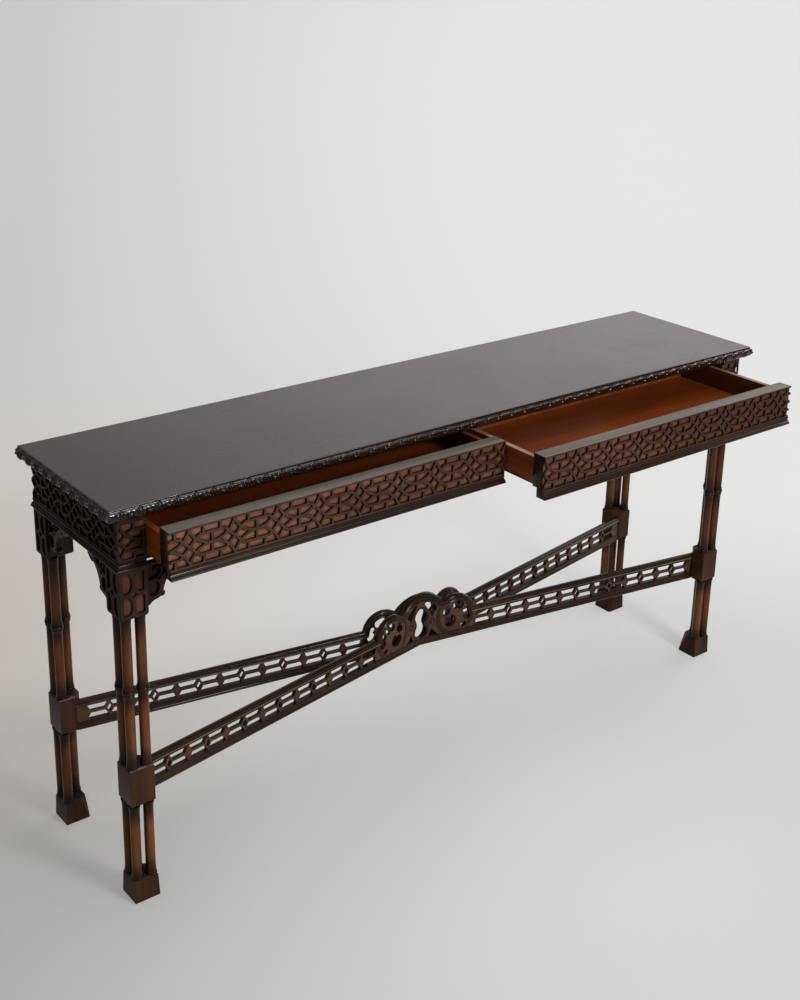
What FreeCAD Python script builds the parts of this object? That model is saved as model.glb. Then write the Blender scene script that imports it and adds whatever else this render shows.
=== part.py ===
"""Pier table in the Chinese Chippendale manner: two drawers, cluster-column legs, pierced cross stretcher.

Millimetres, +Z up, X along the front, -Y towards the front.  The origin is on the floor, in the middle
of the box that the table fills with its drawers drawn out as they are modelled.
"""
import FreeCAD, Part
import math
import os
import re

from FreeCAD import Placement, Rotation, Vector

# ---------------------------------------------------------------------------------------------------
# Driving dimensions
# ---------------------------------------------------------------------------------------------------
SIZES = (
    ("table_height", 800.0),
    ("frame_length", 1588.0),        # over the leg posts, without the applied frets
    ("frame_depth", 340.0),
    ("left_opening", 80.0),          # how far each drawer is drawn out as modelled
    ("right_opening", 190.0),
    # top
    ("top_thickness", 22.0),
    ("top_overhang_end", 19.0),
    ("top_overhang_front", 13.0),
    ("top_overhang_back", 11.0),
    ("nosing_reach", 11.5),
    # frieze
    ("frieze_height", 98.0),         # from the underside of the top to the bottom of the waist moulding
    ("rail_thickness", 20.0),
    ("waist_height", 15.5),
    ("waist_reach", 10.0),
    ("fret_thickness", 3.0),
    ("fret_strip", 4.6),
    ("fret_border", 3.6),
    ("top_rail_height", 9.0),
    ("front_rail_height", 18.0),
    ("front_rail_depth", 40.0),
    ("partition_thickness", 16.0),
    ("runner_width", 22.0),
    ("guide_height", 14.0),
    ("block_size", 26.0),            # glue blocks
    # legs
    ("leg_size", 49.0),
    ("capital_height", 94.0),        # below the waist moulding
    ("capital_chamfer", 3.5),
    ("block_top", 283.5),
    ("block_bottom", 205.0),
    ("block_chamfer", 16.0),
    ("foot_height", 48.0),
    ("foot_spread", 1.0),            # how far the foot stands out all round at the floor
    ("foot_taper", 0.8),             # and in at its top
    ("column_radius", 8.2),
    ("column_spacing", 28.0),
    ("column_flare", 2.6),
    ("flare_height", 14.0),
    ("ring_height", 438.0),          # height of the middle of the ring above the floor
    ("ring_reach", 3.0),
    ("ring_half", 9.0),
    ("stop_chamfer", 3.0),
    ("panel_edge", 6.7),             # panels of the capital: from the edge, from the middle, corner cut
    ("panel_near", 3.5),
    ("panel_corner", 9.0),
    ("lozenge_half", 6.5),
    # brackets
    ("bracket_length", 88.0),
    ("bracket_drop", 80.0),
    ("bracket_wall", 6.0),
    ("bracket_thickness", 13.0),
    ("bracket_ball", 5.5),
    # drawers
    ("front_thickness", 16.0),
    ("drawer_gap", 1.0),
    ("drawer_top_gap", 1.0),
    ("side_thickness", 11.0),
    ("side_height", 56.0),
    ("running_gap", 0.8),
    ("back_thickness", 10.0),
    ("bottom_thickness", 6.0),
    ("bottom_rise", 4.0),            # drawer bottom above the lower edge of the sides
    ("rear_space", 10.0),            # between a closed drawer and the back rail
    # stretcher
    ("stretcher_bottom", 204.5),
    ("stretcher_height", 64.0),
    ("stretcher_rail", 16.0),        # thickness of the moulded rails
    ("apex_gap", 0.3),               # between the front and the rear arms where the four cross
    ("stretcher_fret", 9.0),         # thickness of the pierced board between them
    ("bottom_rail", 16.0),
    ("top_rail", 15.0),
    ("mid_bar", 5.0),
    ("knot_half", 9.0),
    ("stub_width", 6.0),
    ("solid_end", 16.0),             # unpierced end at the leg
    ("wheel_centre", 90.0),          # from the middle of the table
    ("wheel_rise", 54.5),            # wheel centre above the bottom of the stretcher
    ("wheel_radius", 50.0),
    ("wheel_rim", 8.0),
    ("foil_radius", 11.5),
    ("foil_distance", 22.5),
    ("arch_rise", 47.5),             # centre of the middle arch above the bottom of the stretcher
    ("arch_radius", 76.5),
    ("arch_rim", 15.0),
    ("link_half", 18.5),             # middle opening: half width, lobe radius and lobe centres
    ("link_low", 35.5),
    ("link_high", 69.0),
    ("link_frame", 7.0),
)
FRONT_PERIODS = 18                   # repeats of the blind fret along the whole front
END_PERIODS = 4
KNOT_PAIRS = 6                       # repeats of one solid and one open knot along an arm
COLUMN_SIDES = 12                    # flats of a turned colonette
BALL_SIDES = 10                      # and of a bracket's carved balls
FOIL_SIDES = 10                      # and of the openings in a wheel

doc = FreeCAD.newDocument("pier_table")
sheet = doc.addObject("Spreadsheet::Sheet", "Dimensions")
for row, (name, value) in enumerate(SIZES, 1):
    sheet.set("A%d" % row, name)
    sheet.set("B%d" % row, str(value))
    sheet.setAlias("B%d" % row, name)
doc.recompute()

NAMES = sorted((name for name, value in SIZES), key=len, reverse=True)
ALIAS = re.compile(r"\b(%s)\b" % "|".join(NAMES))


def size(name):
    """A driving dimension's value, read from the sheet."""
    return float(sheet.get(name))


def bind(obj, prop, text):
    """Bind a property to an expression in which driving dimensions stand by name."""
    obj.setExpression(prop, ALIAS.sub(r"Dimensions.\1", text))


# Heights and places that several pieces share, as expressions on the driving dimensions.
FRIEZE_TOP = "(table_height - top_thickness)"
WAIST_BOTTOM = "(table_height - top_thickness - frieze_height)"
CAPITAL_BOTTOM = "(table_height - top_thickness - frieze_height - capital_height)"
WAIST_TOP = "(table_height - top_thickness - frieze_height + waist_height)"
RAIL_TOP = "(table_height - top_thickness - frieze_height + front_rail_height)"
SIDE_BOTTOM = "(table_height - top_thickness - frieze_height + front_rail_height + running_gap)"
SIDE_TOP = ("(table_height - top_thickness - frieze_height + front_rail_height + running_gap"
            " + side_height)")
DRAWER_TOP = "(table_height - top_thickness - top_rail_height - drawer_top_gap)"
CARCASS_Y = "((waist_reach + max(left_opening; right_opening) - top_overhang_back) / 2)"
OPENING_HALF = "(frame_length/2 - leg_size)"
FRONT_BACK = "(-frame_depth/2 + front_thickness)"      # rear face of a closed drawer front
RAIL_FRONT = "(-frame_depth/2 + front_thickness + drawer_gap/2)"
REAR_INSIDE = "(frame_depth/2 - rail_thickness)"

# The same heights as numbers, for the outlines.
frieze_top = size("table_height") - size("top_thickness")
waist_bottom = frieze_top - size("frieze_height")
waist_top = waist_bottom + size("waist_height")
capital_bottom = waist_bottom - size("capital_height")
drawer_top = frieze_top - size("top_rail_height") - size("drawer_top_gap")
post_face_x = size("frame_length") / 2
post_face_y = size("frame_depth") / 2
opening_half = post_face_x - size("leg_size")

nodes = []                           # every sub-part that is written, in order


def keep(obj, label):
    """Name a finished sub-part and put it on the list that is written."""
    obj.Label = label
    nodes.append(obj)
    return obj


def place(obj, x, y, z, turn=0.0):
    """Place an object by expressions given about the carcass centre, turned about the vertical."""
    obj.Placement = Placement(Vector(0, 0, 0), Rotation(Vector(0, 0, 1), turn))
    bind(obj, "Placement.Base.x", x)
    bind(obj, "Placement.Base.y", "%s + %s" % (y, CARCASS_Y))
    bind(obj, "Placement.Base.z", z)
    return obj


def board(name, x, y, z):
    """A sawn board; x, y and z are pairs of expressions for its two faces."""
    box = doc.addObject("Part::Box", name)
    for prop, (low, high) in zip(("Length", "Width", "Height"), (x, y, z)):
        bind(box, prop, "(%s) - (%s)" % (high, low))
    return place(box, x[0], y[0], z[0])


def group(label, pieces):
    """Several like pieces that are kept as one sub-part of separate solids."""
    compound = doc.addObject("Part::Compound", label)
    compound.Links = pieces
    return keep(compound, label)


# ---------------------------------------------------------------------------------------------------
# PartDesign helpers
# ---------------------------------------------------------------------------------------------------
def new_body(name):
    return doc.addObject("PartDesign::Body", name)


def new_sketch(body, role, name, curves):
    """A sketch on one of the body's own origin planes, from lines and arcs."""
    sketch = body.newObject("Sketcher::SketchObject", name)
    plane = [f for f in body.Origin.OriginFeatures if f.Role == role][0]
    sketch.AttachmentSupport = (plane, [""])
    sketch.MapMode = "FlatFace"
    sketch.addGeometry(curves, False)
    return sketch


def loop(*steps):
    """A closed outline.  A step is a corner (u, v), or (through, corner) for an arc to that corner.

    (through, corner, sides) lays the same arc out in flats: small curves that repeat many times are
    cut that way, so that their facets stay few.
    """
    corners = [s[1] if isinstance(s[0], tuple) else s for s in steps]
    curves = []
    for index, step in enumerate(steps):
        start = Vector(*corners[index - 1], 0)
        end = Vector(*corners[index], 0)
        if not isinstance(step[0], tuple):
            curves.append(Part.LineSegment(start, end))
            continue
        arc = Part.Arc(start, Vector(*step[0], 0), end)
        if len(step) == 2:
            curves.append(arc)
            continue
        stops = arc.toShape().discretize(step[2] + 1)
        if (stops[0] - start).Length > (stops[-1] - start).Length:
            stops.reverse()
        curves.extend(Part.LineSegment(a, b) for a, b in zip(stops, stops[1:]))
    return curves


def flats(radius, sides, centre=(0, 0)):
    """Corners of a regular outline."""
    return [on_circle(centre, radius, 360 * (i + 0.5) / sides) for i in range(sides)]


def pad(body, sketch, length, both=False, reverse=False):
    feature = body.newObject("PartDesign::Pad", "Pad")
    feature.Profile = sketch
    feature.Midplane = both
    feature.Reversed = reverse
    bind(feature, "Length", length)
    return feature


def pocket(body, sketch):
    """A pocket through everything, both ways."""
    feature = body.newObject("PartDesign::Pocket", "Pocket")
    feature.Profile = sketch
    feature.Type = "ThroughAll"
    feature.Midplane = True
    return feature


def repeat(body, feature, axis, length, count):
    pattern = body.newObject("PartDesign::LinearPattern", "LinearPattern")
    pattern.Originals = [feature]
    pattern.Direction = (feature.Profile[0], [axis])
    pattern.Occurrences = count
    bind(pattern, "Length", length)
    body.Tip = pattern
    return pattern


def on_circle(centre, radius, degrees):
    angle = math.radians(degrees)
    return (centre[0] + radius * math.cos(angle), centre[1] + radius * math.sin(angle))


def arc_between(centre, radius, start, end):
    """The point half way along the short arc from start to end."""
    middle = ((start[0] + end[0]) / 2 - centre[0], (start[1] + end[1]) / 2 - centre[1])
    reach = math.hypot(*middle)
    return (centre[0] + middle[0] * radius / reach, centre[1] + middle[1] * radius / reach)


# ---------------------------------------------------------------------------------------------------
# Blind fret: linked arcs with a saltire between each pair
# ---------------------------------------------------------------------------------------------------
def fret_cells(period, half_height, node_u, node_v):
    """The openings of one repeat about the point where its two arcs touch."""
    half_strip = size("fret_strip") / 2
    slant = half_strip * math.sqrt(2)
    half = period / 2
    radius = (half * half + half_height * half_height) / (2 * half_height)
    inner, outer = radius - half_strip, radius + half_strip
    cells = []

    def add(steps, flip_u=1, flip_v=1):
        def at(p):
            return (node_u + flip_u * p[0], node_v + flip_v * p[1])
        moved = [(at(s[0]), at(s[1]), s[2]) if isinstance(s[0], tuple) else at(s) for s in steps]
        cells.extend(loop(*moved))

    bell_half = math.sqrt(inner ** 2 - (radius - half_height) ** 2)
    bell = [((0, half_strip), (bell_half, half_height), 3), (-bell_half, half_height)]
    centre = (0, radius)
    eye = (math.sqrt(outer ** 2 - radius ** 2), 0)
    reach = half - slant
    upper_u = ((reach - radius) + math.sqrt(2 * outer ** 2 - (reach - radius) ** 2)) / 2
    upper = (upper_u, reach - upper_u)
    lower = (upper_u, upper_u - reach)
    lens = [(arc_between(centre, outer, eye, upper), upper, 2), (reach, 0), lower,
            (arc_between((0, -radius), outer, lower, eye), eye, 2)]
    peak = (half, radius - math.sqrt(outer ** 2 - half ** 2))
    reach = half + slant
    side_u = ((reach - radius) + math.sqrt(2 * outer ** 2 - (reach - radius) ** 2)) / 2
    side = (side_u, reach - side_u)
    far = (period - side_u, reach - side_u)
    kite = [(arc_between(centre, outer, peak, side), side, 1), (half, slant), far,
            (arc_between((period, radius), outer, far, peak), peak, 1)]
    for flip in (1, -1):
        add(bell, flip_v=flip)
        add(lens, flip_u=flip)
        add(kite, flip_v=flip)
    return cells


def fret_plate(name, outline, height, period, first_node, count):
    """A flat fret standing up in the XZ plane; outline is its (left, right) in the body's own X.

    The openings keep the height that they have on the drawers, and a taller plate has a wider top border.
    """
    body = new_body(name)
    left, right = outline
    plate = new_sketch(body, "XZ_Plane", name + "_outline",
                       loop((left, 0), (right, 0), (right, height), (left, height)))
    pad(body, plate, "fret_thickness")
    middle = (drawer_top - waist_top) / 2
    cells = new_sketch(body, "XZ_Plane", name + "_cells",
                       fret_cells(period, middle - size("fret_border"), first_node, middle))
    cut = pocket(body, cells)
    if count > 1:
        repeat(body, cut, "H_Axis", "%r * %d" % (period, count - 1), count)
    return body


# ---------------------------------------------------------------------------------------------------
# Mouldings
# ---------------------------------------------------------------------------------------------------
def nosing_profile():
    """Carved nosing of the top, as (outward, up) from the underside of the top at the board's edge."""
    reach, rise = size("nosing_reach"), size("top_thickness")
    return [(0, 0), (reach * 0.45, 0), ((reach * 0.62, rise * 0.13), (reach * 0.78, rise * 0.24)),
            ((reach, rise * 0.58), (reach * 0.72, rise * 0.9)), (reach * 0.3, rise * 0.9),
            (reach * 0.3, rise * 0.96), (0, rise * 0.96)]


def waist_profile():
    """Waist moulding: a cove above a bead, from the post face and the bottom of the moulding."""
    reach, rise, lip = size("waist_reach"), size("waist_height"), size("fret_thickness")
    bead = rise * 0.36
    return [(0, 0), (reach * 0.82, 0), ((reach, bead / 2), (reach * 0.82, bead)),
            ((lip + (reach - lip) * 0.22, rise * 0.58), (lip, rise * 0.9)), (lip, rise), (0, rise)]


def moulding(name, profile, run, reach, mitred):
    """A length of moulding along X, outward to -Y; mitred is a pair, for its start and its end.

    run is a pair: the length along the inner face as a number and as an expression.
    """
    body = new_body(name)
    length, length_text = run
    steps = []
    for step in profile:
        if isinstance(step[0], tuple):
            steps.append(((-step[0][0], step[0][1]), (-step[1][0], step[1][1])))
        else:
            steps.append((-step[0], step[1]))
    section = new_sketch(body, "YZ_Plane", name + "_section", loop(*steps))
    extra = size(reach) * sum(mitred)
    pad(body, section, "%s + %s * %d" % (length_text, reach, sum(mitred)))
    spare = 2.0
    tip = size(reach)
    cuts = []
    if mitred[0]:
        cuts += loop((tip + spare, spare), (-spare, -tip - spare), (-spare, spare))
    if mitred[1]:
        total = length + extra
        cuts += loop((total - tip - spare, spare), (total + spare, spare), (total + spare, -tip - spare))
    if cuts:
        pocket(body, new_sketch(body, "XY_Plane", name + "_mitres", cuts))
    return body


# ---------------------------------------------------------------------------------------------------
# Top
# ---------------------------------------------------------------------------------------------------
TOP_LEFT = "(-frame_length/2 - top_overhang_end)"
TOP_FRONT = "(-frame_depth/2 - top_overhang_front)"
TOP_BACK = "(frame_depth/2 + top_overhang_back)"


def make_top():
    top = board("top_board", (TOP_LEFT, "frame_length/2 + top_overhang_end"), (TOP_FRONT, TOP_BACK),
                (FRIEZE_TOP, "table_height"))
    keep(top, "top_board")
    length = size("frame_length") + 2 * size("top_overhang_end")
    depth = size("frame_depth") + size("top_overhang_front") + size("top_overhang_back")
    long_run = (length, "frame_length + 2*top_overhang_end")
    short_run = (depth, "frame_depth + top_overhang_front + top_overhang_back")
    front = moulding("top_moulding_front", nosing_profile(), long_run, "nosing_reach", (1, 1))
    keep(place(front, TOP_LEFT + " - nosing_reach", TOP_FRONT, FRIEZE_TOP), "top_moulding_front")
    left = moulding("top_moulding_left", nosing_profile(), short_run, "nosing_reach", (0, 1))
    keep(place(left, TOP_LEFT, TOP_BACK, FRIEZE_TOP, -90), "top_moulding_left")
    right = moulding("top_moulding_right", nosing_profile(), short_run, "nosing_reach", (1, 0))
    keep(place(right, "frame_length/2 + top_overhang_end", TOP_FRONT + " - nosing_reach", FRIEZE_TOP, 90),
         "top_moulding_right")


# ---------------------------------------------------------------------------------------------------
# Carcass
# ---------------------------------------------------------------------------------------------------
def make_carcass():
    inner_back = "frame_depth/2 - leg_size"
    between_posts = ("-" + OPENING_HALF, OPENING_HALF)
    keep(board("back_rail", between_posts, (REAR_INSIDE, "frame_depth/2"), (WAIST_BOTTOM, FRIEZE_TOP)),
         "back_rail")
    for side, sign in (("left", -1), ("right", 1)):
        outer, inner = "frame_length/2", "frame_length/2 - rail_thickness"
        span = ("-" + outer, "-(%s)" % inner) if sign < 0 else (inner, outer)
        keep(board("end_rail_" + side, span, ("-(%s)" % inner_back, inner_back), (WAIST_BOTTOM, FRIEZE_TOP)),
             "end_rail_" + side)
    rail_depth = (RAIL_FRONT, RAIL_FRONT + " + front_rail_depth")
    keep(board("front_top_rail", between_posts, rail_depth, (FRIEZE_TOP + " - top_rail_height", FRIEZE_TOP)),
         "front_top_rail")
    keep(board("front_bottom_rail", between_posts, rail_depth, (WAIST_BOTTOM, RAIL_TOP)),
         "front_bottom_rail")
    half = "partition_thickness/2"
    behind_rails = RAIL_FRONT + " + front_rail_depth"
    keep(board("centre_partition", ("-" + half, half), (behind_rails, REAR_INSIDE),
               (WAIST_BOTTOM, FRIEZE_TOP)), "centre_partition")
    runners, kickers, guides = [], [], []
    outer_edge = OPENING_HALF + " - drawer_gap"
    spans = ((half, half + " + runner_width"),
             (outer_edge + " - runner_width", outer_edge + " + drawer_gap"))
    for sign in (-1, 1):
        for low, high in spans:
            x = (low, high) if sign > 0 else ("-(%s)" % high, "-(%s)" % low)
            y = (behind_rails, REAR_INSIDE)
            runners.append(board("runner", x, y, (WAIST_BOTTOM, RAIL_TOP)))
            kickers.append(board("kicker", x, y, (SIDE_TOP + " + running_gap", FRIEZE_TOP)))
        low, high = OPENING_HALF, "frame_length/2 - rail_thickness"
        x = (low, high) if sign > 0 else ("-(%s)" % high, "-(%s)" % low)
        y = ("-(%s)" % inner_back, inner_back)
        guides.append(board("guide", x, y, (WAIST_BOTTOM, RAIL_TOP + " + guide_height")))
    group("drawer_runners", runners)
    group("drawer_kickers", kickers)
    group("drawer_guides", guides)
    blocks = []
    for part in (-0.75, -0.25, 0.25, 0.75):
        middle = "%r * (%s)" % (part, OPENING_HALF)
        blocks.append(board("glue_block", (middle + " - block_size", middle + " + block_size"),
                            (REAR_INSIDE + " - rear_space + 2*running_gap", REAR_INSIDE),
                            (FRIEZE_TOP + " - block_size", FRIEZE_TOP)))
    group("glue_blocks", blocks)


def make_end_trim():
    """Blind frets and waist mouldings of the two ends, with the short returns on the front posts."""
    fret_height = frieze_top - waist_top
    period = size("frame_depth") / END_PERIODS
    short_run = (size("frame_depth"), "frame_depth")
    return_length = size("leg_size")
    for side, sign in (("left", -1), ("right", 1)):
        name = "end_fret_" + side
        fret = fret_plate(name, (0, size("frame_depth")), fret_height, period, period / 2, END_PERIODS)
        if sign < 0:
            place(fret, "-frame_length/2", "frame_depth/2", WAIST_TOP, -90)
        else:
            place(fret, "frame_length/2", "-frame_depth/2", WAIST_TOP, 90)
        keep(fret, name)
        name = "waist_moulding_" + side
        mitred = (0, 1) if sign < 0 else (1, 0)
        end = moulding(name + "_end", waist_profile(), short_run, "waist_reach", mitred)
        front = moulding(name + "_front", waist_profile(), (return_length, "leg_size"), "waist_reach",
                         mitred[::-1])
        if sign < 0:
            place(end, "-frame_length/2", "frame_depth/2", WAIST_BOTTOM, -90)
            place(front, "-frame_length/2 - waist_reach", "-frame_depth/2", WAIST_BOTTOM)
        else:
            place(end, "frame_length/2", "-frame_depth/2 - waist_reach", WAIST_BOTTOM, 90)
            place(front, OPENING_HALF, "-frame_depth/2", WAIST_BOTTOM)
        group(name, [end, front])


# ---------------------------------------------------------------------------------------------------
# Drawers
# ---------------------------------------------------------------------------------------------------
def make_drawer(side, sign, opening):
    """One drawer, modelled where it stands when it is drawn out by its opening."""
    gap = "drawer_gap"
    near, far = gap, OPENING_HALF + " - " + gap

    def across(low, high):
        return (low, high) if sign > 0 else ("-(%s)" % high, "-(%s)" % low)

    name = "drawer_" + side
    face = "-frame_depth/2 - " + opening
    back = FRONT_BACK + " - " + opening
    keep(board(name + "_front", across(near, far), (face, back), (WAIST_BOTTOM, DRAWER_TOP)),
         name + "_front")

    period = size("frame_length") / FRONT_PERIODS
    width = opening_half - 2 * size(gap)
    height = drawer_top - waist_top
    count = math.ceil(width / period)
    if sign > 0:
        outline, first = (0, width), period / 2 - size(gap)
    else:
        outline, first = (0, width), width + size(gap) - (count - 0.5) * period
    fret = fret_plate(name + "_fret", outline, height, period, first, count)
    left_edge = near if sign > 0 else "-(%s)" % far
    keep(place(fret, left_edge, face, WAIST_TOP), name + "_fret")
    run = (width, OPENING_HALF + " - 2*" + gap)
    waist = moulding(name + "_moulding", waist_profile(), run, "waist_reach", (0, 0))
    keep(place(waist, left_edge, face, WAIST_BOTTOM), name + "_moulding")

    inner_near = "(partition_thickness/2 + running_gap)"
    inner_far = "(" + OPENING_HALF + " - drawer_gap - running_gap)"
    rear = REAR_INSIDE + " - rear_space - " + opening
    z_side = (SIDE_BOTTOM, SIDE_TOP)
    inner = ("side_inner", across(inner_near, inner_near + " + side_thickness"))
    outer = ("side_outer", across(inner_far + " - side_thickness", inner_far))
    for part, x in (inner, outer):
        keep(board(name + "_" + part, x, (back, rear), z_side), name + "_" + part)
    between = across(inner_near + " + side_thickness", inner_far + " - side_thickness")
    bottom_top = SIDE_BOTTOM + " + bottom_rise + bottom_thickness"
    keep(board(name + "_back", between, (rear + " - back_thickness", rear),
               (bottom_top, SIDE_TOP + " - bottom_rise")), name + "_back")
    keep(board(name + "_bottom", between, (back, rear), (SIDE_BOTTOM + " + bottom_rise", bottom_top)),
         name + "_bottom")


# ---------------------------------------------------------------------------------------------------
# Legs
# ---------------------------------------------------------------------------------------------------
def leg_corners(half, cut):
    """Square section with its inner corner cut; that corner points to +u, +v."""
    return [(-half, -half), (half, -half), (half, half - cut), (half - cut, half), (-half, half)]


def flat_faces(feature):
    """Names of the level faces of a feature."""
    found = []
    for index, face in enumerate(feature.Shape.Faces, 1):
        if isinstance(face.Surface, Part.Plane) and abs(face.normalAt(0, 0).z) > 0.99:
            found.append("Face%d" % index)
    return found


def inner_foot_edges(feature):
    """Names of a post's two lowest edges on its inner sides, +u and +v."""
    found = []
    for index, edge in enumerate(feature.Shape.Edges, 1):
        middle = edge.CenterOfMass
        if middle.z < 0.01 and max(middle.x, middle.y) > 1:
            found.append("Edge%d" % index)
    return found


def stack(name, sections):
    """A solid of flat sides through level outlines of equally many corners, as (height, corners)."""
    rows = [[Vector(u, v, height) for u, v in corners] for height, corners in sections]
    sides = len(rows[0])
    faces = [Part.Face(Part.makePolygon(row + row[:1])) for row in (rows[0], rows[-1])]
    for low, high in zip(rows, rows[1:]):
        for i in range(sides):
            j = (i + 1) % sides
            faces.append(Part.Face(Part.makePolygon([low[i], low[j], high[j], high[i], low[i]])))
    solid = Part.makeSolid(Part.makeShell(faces))
    if solid.Volume < 0:
        solid.reverse()
    feature = doc.addObject("Part::Feature", name)
    feature.Shape = solid
    return feature


def column(name, bottom, top, ringed):
    """A colonette that flares into what it stands on and into what it carries, in COLUMN_SIDES flats."""
    radius, flared = size("column_radius"), size("column_radius") + size("column_flare")
    flare, middle, half = size("flare_height"), size("ring_height"), size("ring_half")
    outline = [(bottom, flared), (bottom + flare, radius)]
    if ringed:
        outline += [(middle - half, radius), (middle, radius + size("ring_reach")), (middle + half, radius)]
    outline += [(top - flare, radius), (top, flared)]
    return stack(name, [(height, flats(reach, COLUMN_SIDES)) for height, reach in outline])


def capital_plate(name, width, free):
    """Small fret on one face of a capital: two pairs of D-shaped panels about a lozenge.

    free is +1 or -1 for the end of the plate that is away from the leg's outer corner.
    """
    body = new_body(name)
    height, ease, middle = size("capital_height"), size("capital_chamfer"), width / 2
    outline = [(-middle, ease), (ease - middle, 0), (middle, 0), (middle, height), (-middle, height)]
    plate = new_sketch(body, "XZ_Plane", name + "_outline",
                       loop(*[(middle - free * u, v) for u, v in outline]))
    pad(body, plate, "fret_thickness")
    straight, near = middle - size("panel_edge"), size("panel_near")
    corner = near + size("panel_corner")
    cells = []
    for low, high in ((0.07 * height, 0.425 * height), (0.52 * height, 0.905 * height)):
        for way in (1, -1):
            def at(u, v):
                return (middle + way * u, v)
            cells += loop(at(straight, low), at(straight, high), at(corner, high),
                          (at(near, (low + high) / 2), at(corner, low), 3))
    reach, rise = size("lozenge_half"), 0.4725 * height
    cells += loop((middle + reach, rise), (middle, rise + reach * 0.85), (middle - reach, rise),
                  (middle, rise - reach * 0.85))
    pocket(body, new_sketch(body, "XZ_Plane", name + "_cells", cells))
    return body


def bracket(name):
    """Pierced bracket: an S curve with two carved balls, against a post at u = 0, hung from v = 0."""
    length, drop, ball = size("bracket_length"), size("bracket_drop"), size("bracket_ball")
    upper_ball = (length * 0.7, -drop * 0.25)
    lower_ball = (length * 0.33, -drop * 0.8)
    body = new_body(name)
    outline = loop((0, 0), (0, -drop), (length * 0.05, -drop),
                   ((length * 0.2, -drop * 0.86), lower_ball, 3),
                   ((length * 0.43, -drop * 0.47), upper_ball, 5),
                   ((length * 0.86, -drop * 0.1), (length, 0), 4))
    pad(body, new_sketch(body, "XZ_Plane", name + "_outline", outline), "bracket_thickness", reverse=True)
    balls = loop(*flats(ball, BALL_SIDES, upper_ball)) + loop(*flats(ball, BALL_SIDES, lower_ball))
    pad(body, new_sketch(body, "XZ_Plane", name + "_balls", balls), "bracket_thickness", reverse=True)
    wall = size("bracket_wall")
    cells = loop((wall, -wall), (length * 0.58, -wall),
                 ((length * 0.32, -drop * 0.3), (length * 0.24, -drop * 0.72), 5), (wall, -drop * 0.78))
    pocket(body, new_sketch(body, "XZ_Plane", name + "_cells", cells))
    return body


LEGS = (("leg_front_left", -1, -1, 0), ("leg_front_right", 1, -1, 90),
        ("leg_back_right", 1, 1, 180), ("leg_back_left", -1, 1, 270))


def make_leg(name, side, end, turn):
    """One leg about its own axis; at turn 0 the inner corner points to +X +Y."""
    axis_x = "%d * (frame_length/2 - leg_size/2)" % side
    axis_y = "%d * (frame_depth/2 - leg_size/2)" % end
    half = size("leg_size") / 2

    post = new_body(name + "_post")
    section = new_sketch(post, "XY_Plane", name + "_post_section",
                         loop((-half, -half), (half, -half), (half, half), (-half, half)))
    solid = pad(post, section, "frieze_height + capital_height")
    doc.recompute()
    eased = post.newObject("PartDesign::Chamfer", "Chamfer")
    eased.Base = (solid, inner_foot_edges(solid))
    bind(eased, "Size", "capital_chamfer")
    keep(place(post, axis_x, axis_y, CAPITAL_BOTTOM, turn), name + "_post")

    block = new_body(name + "_block")
    section = new_sketch(block, "XY_Plane", name + "_block_section",
                         loop(*leg_corners(half, size("block_chamfer"))))
    solid = pad(block, section, "block_top - block_bottom")
    doc.recompute()
    edges = block.newObject("PartDesign::Chamfer", "Chamfer")
    edges.Base = (solid, flat_faces(solid))
    bind(edges, "Size", "stop_chamfer")
    keep(place(block, axis_x, axis_y, "block_bottom", turn), name + "_block")

    low_half, high_half = half + size("foot_spread"), half - size("foot_taper")
    cut = size("block_chamfer")
    foot = stack(name + "_foot", [(0, leg_corners(low_half, cut / 8)),
                                  (size("foot_height"), leg_corners(high_half, cut))])
    keep(place(foot, axis_x, axis_y, "0", turn), name + "_foot")

    pieces = []
    offset = "column_spacing/2"
    heights = ((size("foot_height"), size("block_bottom"), False),
               (size("block_top"), capital_bottom, True))
    for bottom, top, ringed in heights:
        for u, v in ((-1, -1), (1, -1), (-1, 1)):
            turned = column(name + "_column", bottom, top, ringed)
            angle = math.radians(turn)
            across = round(u * math.cos(angle) - v * math.sin(angle))
            along = round(u * math.sin(angle) + v * math.cos(angle))
            place(turned, "%s + %d * %s" % (axis_x, across, offset),
                  "%s + %d * %s" % (axis_y, along, offset), "0")
            pieces.append(turned)
    group(name + "_columns", pieces)
    make_leg_frets(name, side, end)
    make_brackets(name, side, end)


def make_leg_frets(name, side, end):
    """Applied frets of one leg: capital faces, and on a front leg the frieze face above them."""
    width, fret = size("leg_size"), size("fret_thickness")
    # A plate on an end runs from back to front on the left, and from front to back on the right.
    start = "%d * frame_depth/2 %s" % (end, "" if end == -side else "+ %d * leg_size" % -end)
    plate = capital_plate(name + "_end_fret", width, -side * end)
    plates = [place(plate, "%d * frame_length/2" % side, start, CAPITAL_BOTTOM, 90 * side)]
    if end < 0:
        # The front plates run out over the edge of the plates on the end.
        corner = "-frame_length/2 - fret_thickness" if side < 0 else "frame_length/2 - leg_size"
        plate = capital_plate(name + "_front_fret", width + fret, -side)
        plates.append(place(plate, corner, "-frame_depth/2", CAPITAL_BOTTOM))
        period = size("frame_length") / FRONT_PERIODS
        left = -post_face_x - fret if side < 0 else post_face_x - width
        first = (-(FRONT_PERIODS / 2 + 0.5) if side < 0 else FRONT_PERIODS / 2 - 0.5) * period - left
        stile = fret_plate(name + "_stile_fret", (0, width + fret), frieze_top - waist_top, period, first, 2)
        plates.append(place(stile, corner, "-frame_depth/2", WAIST_TOP))
    group(name + "_frets", plates)


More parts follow.
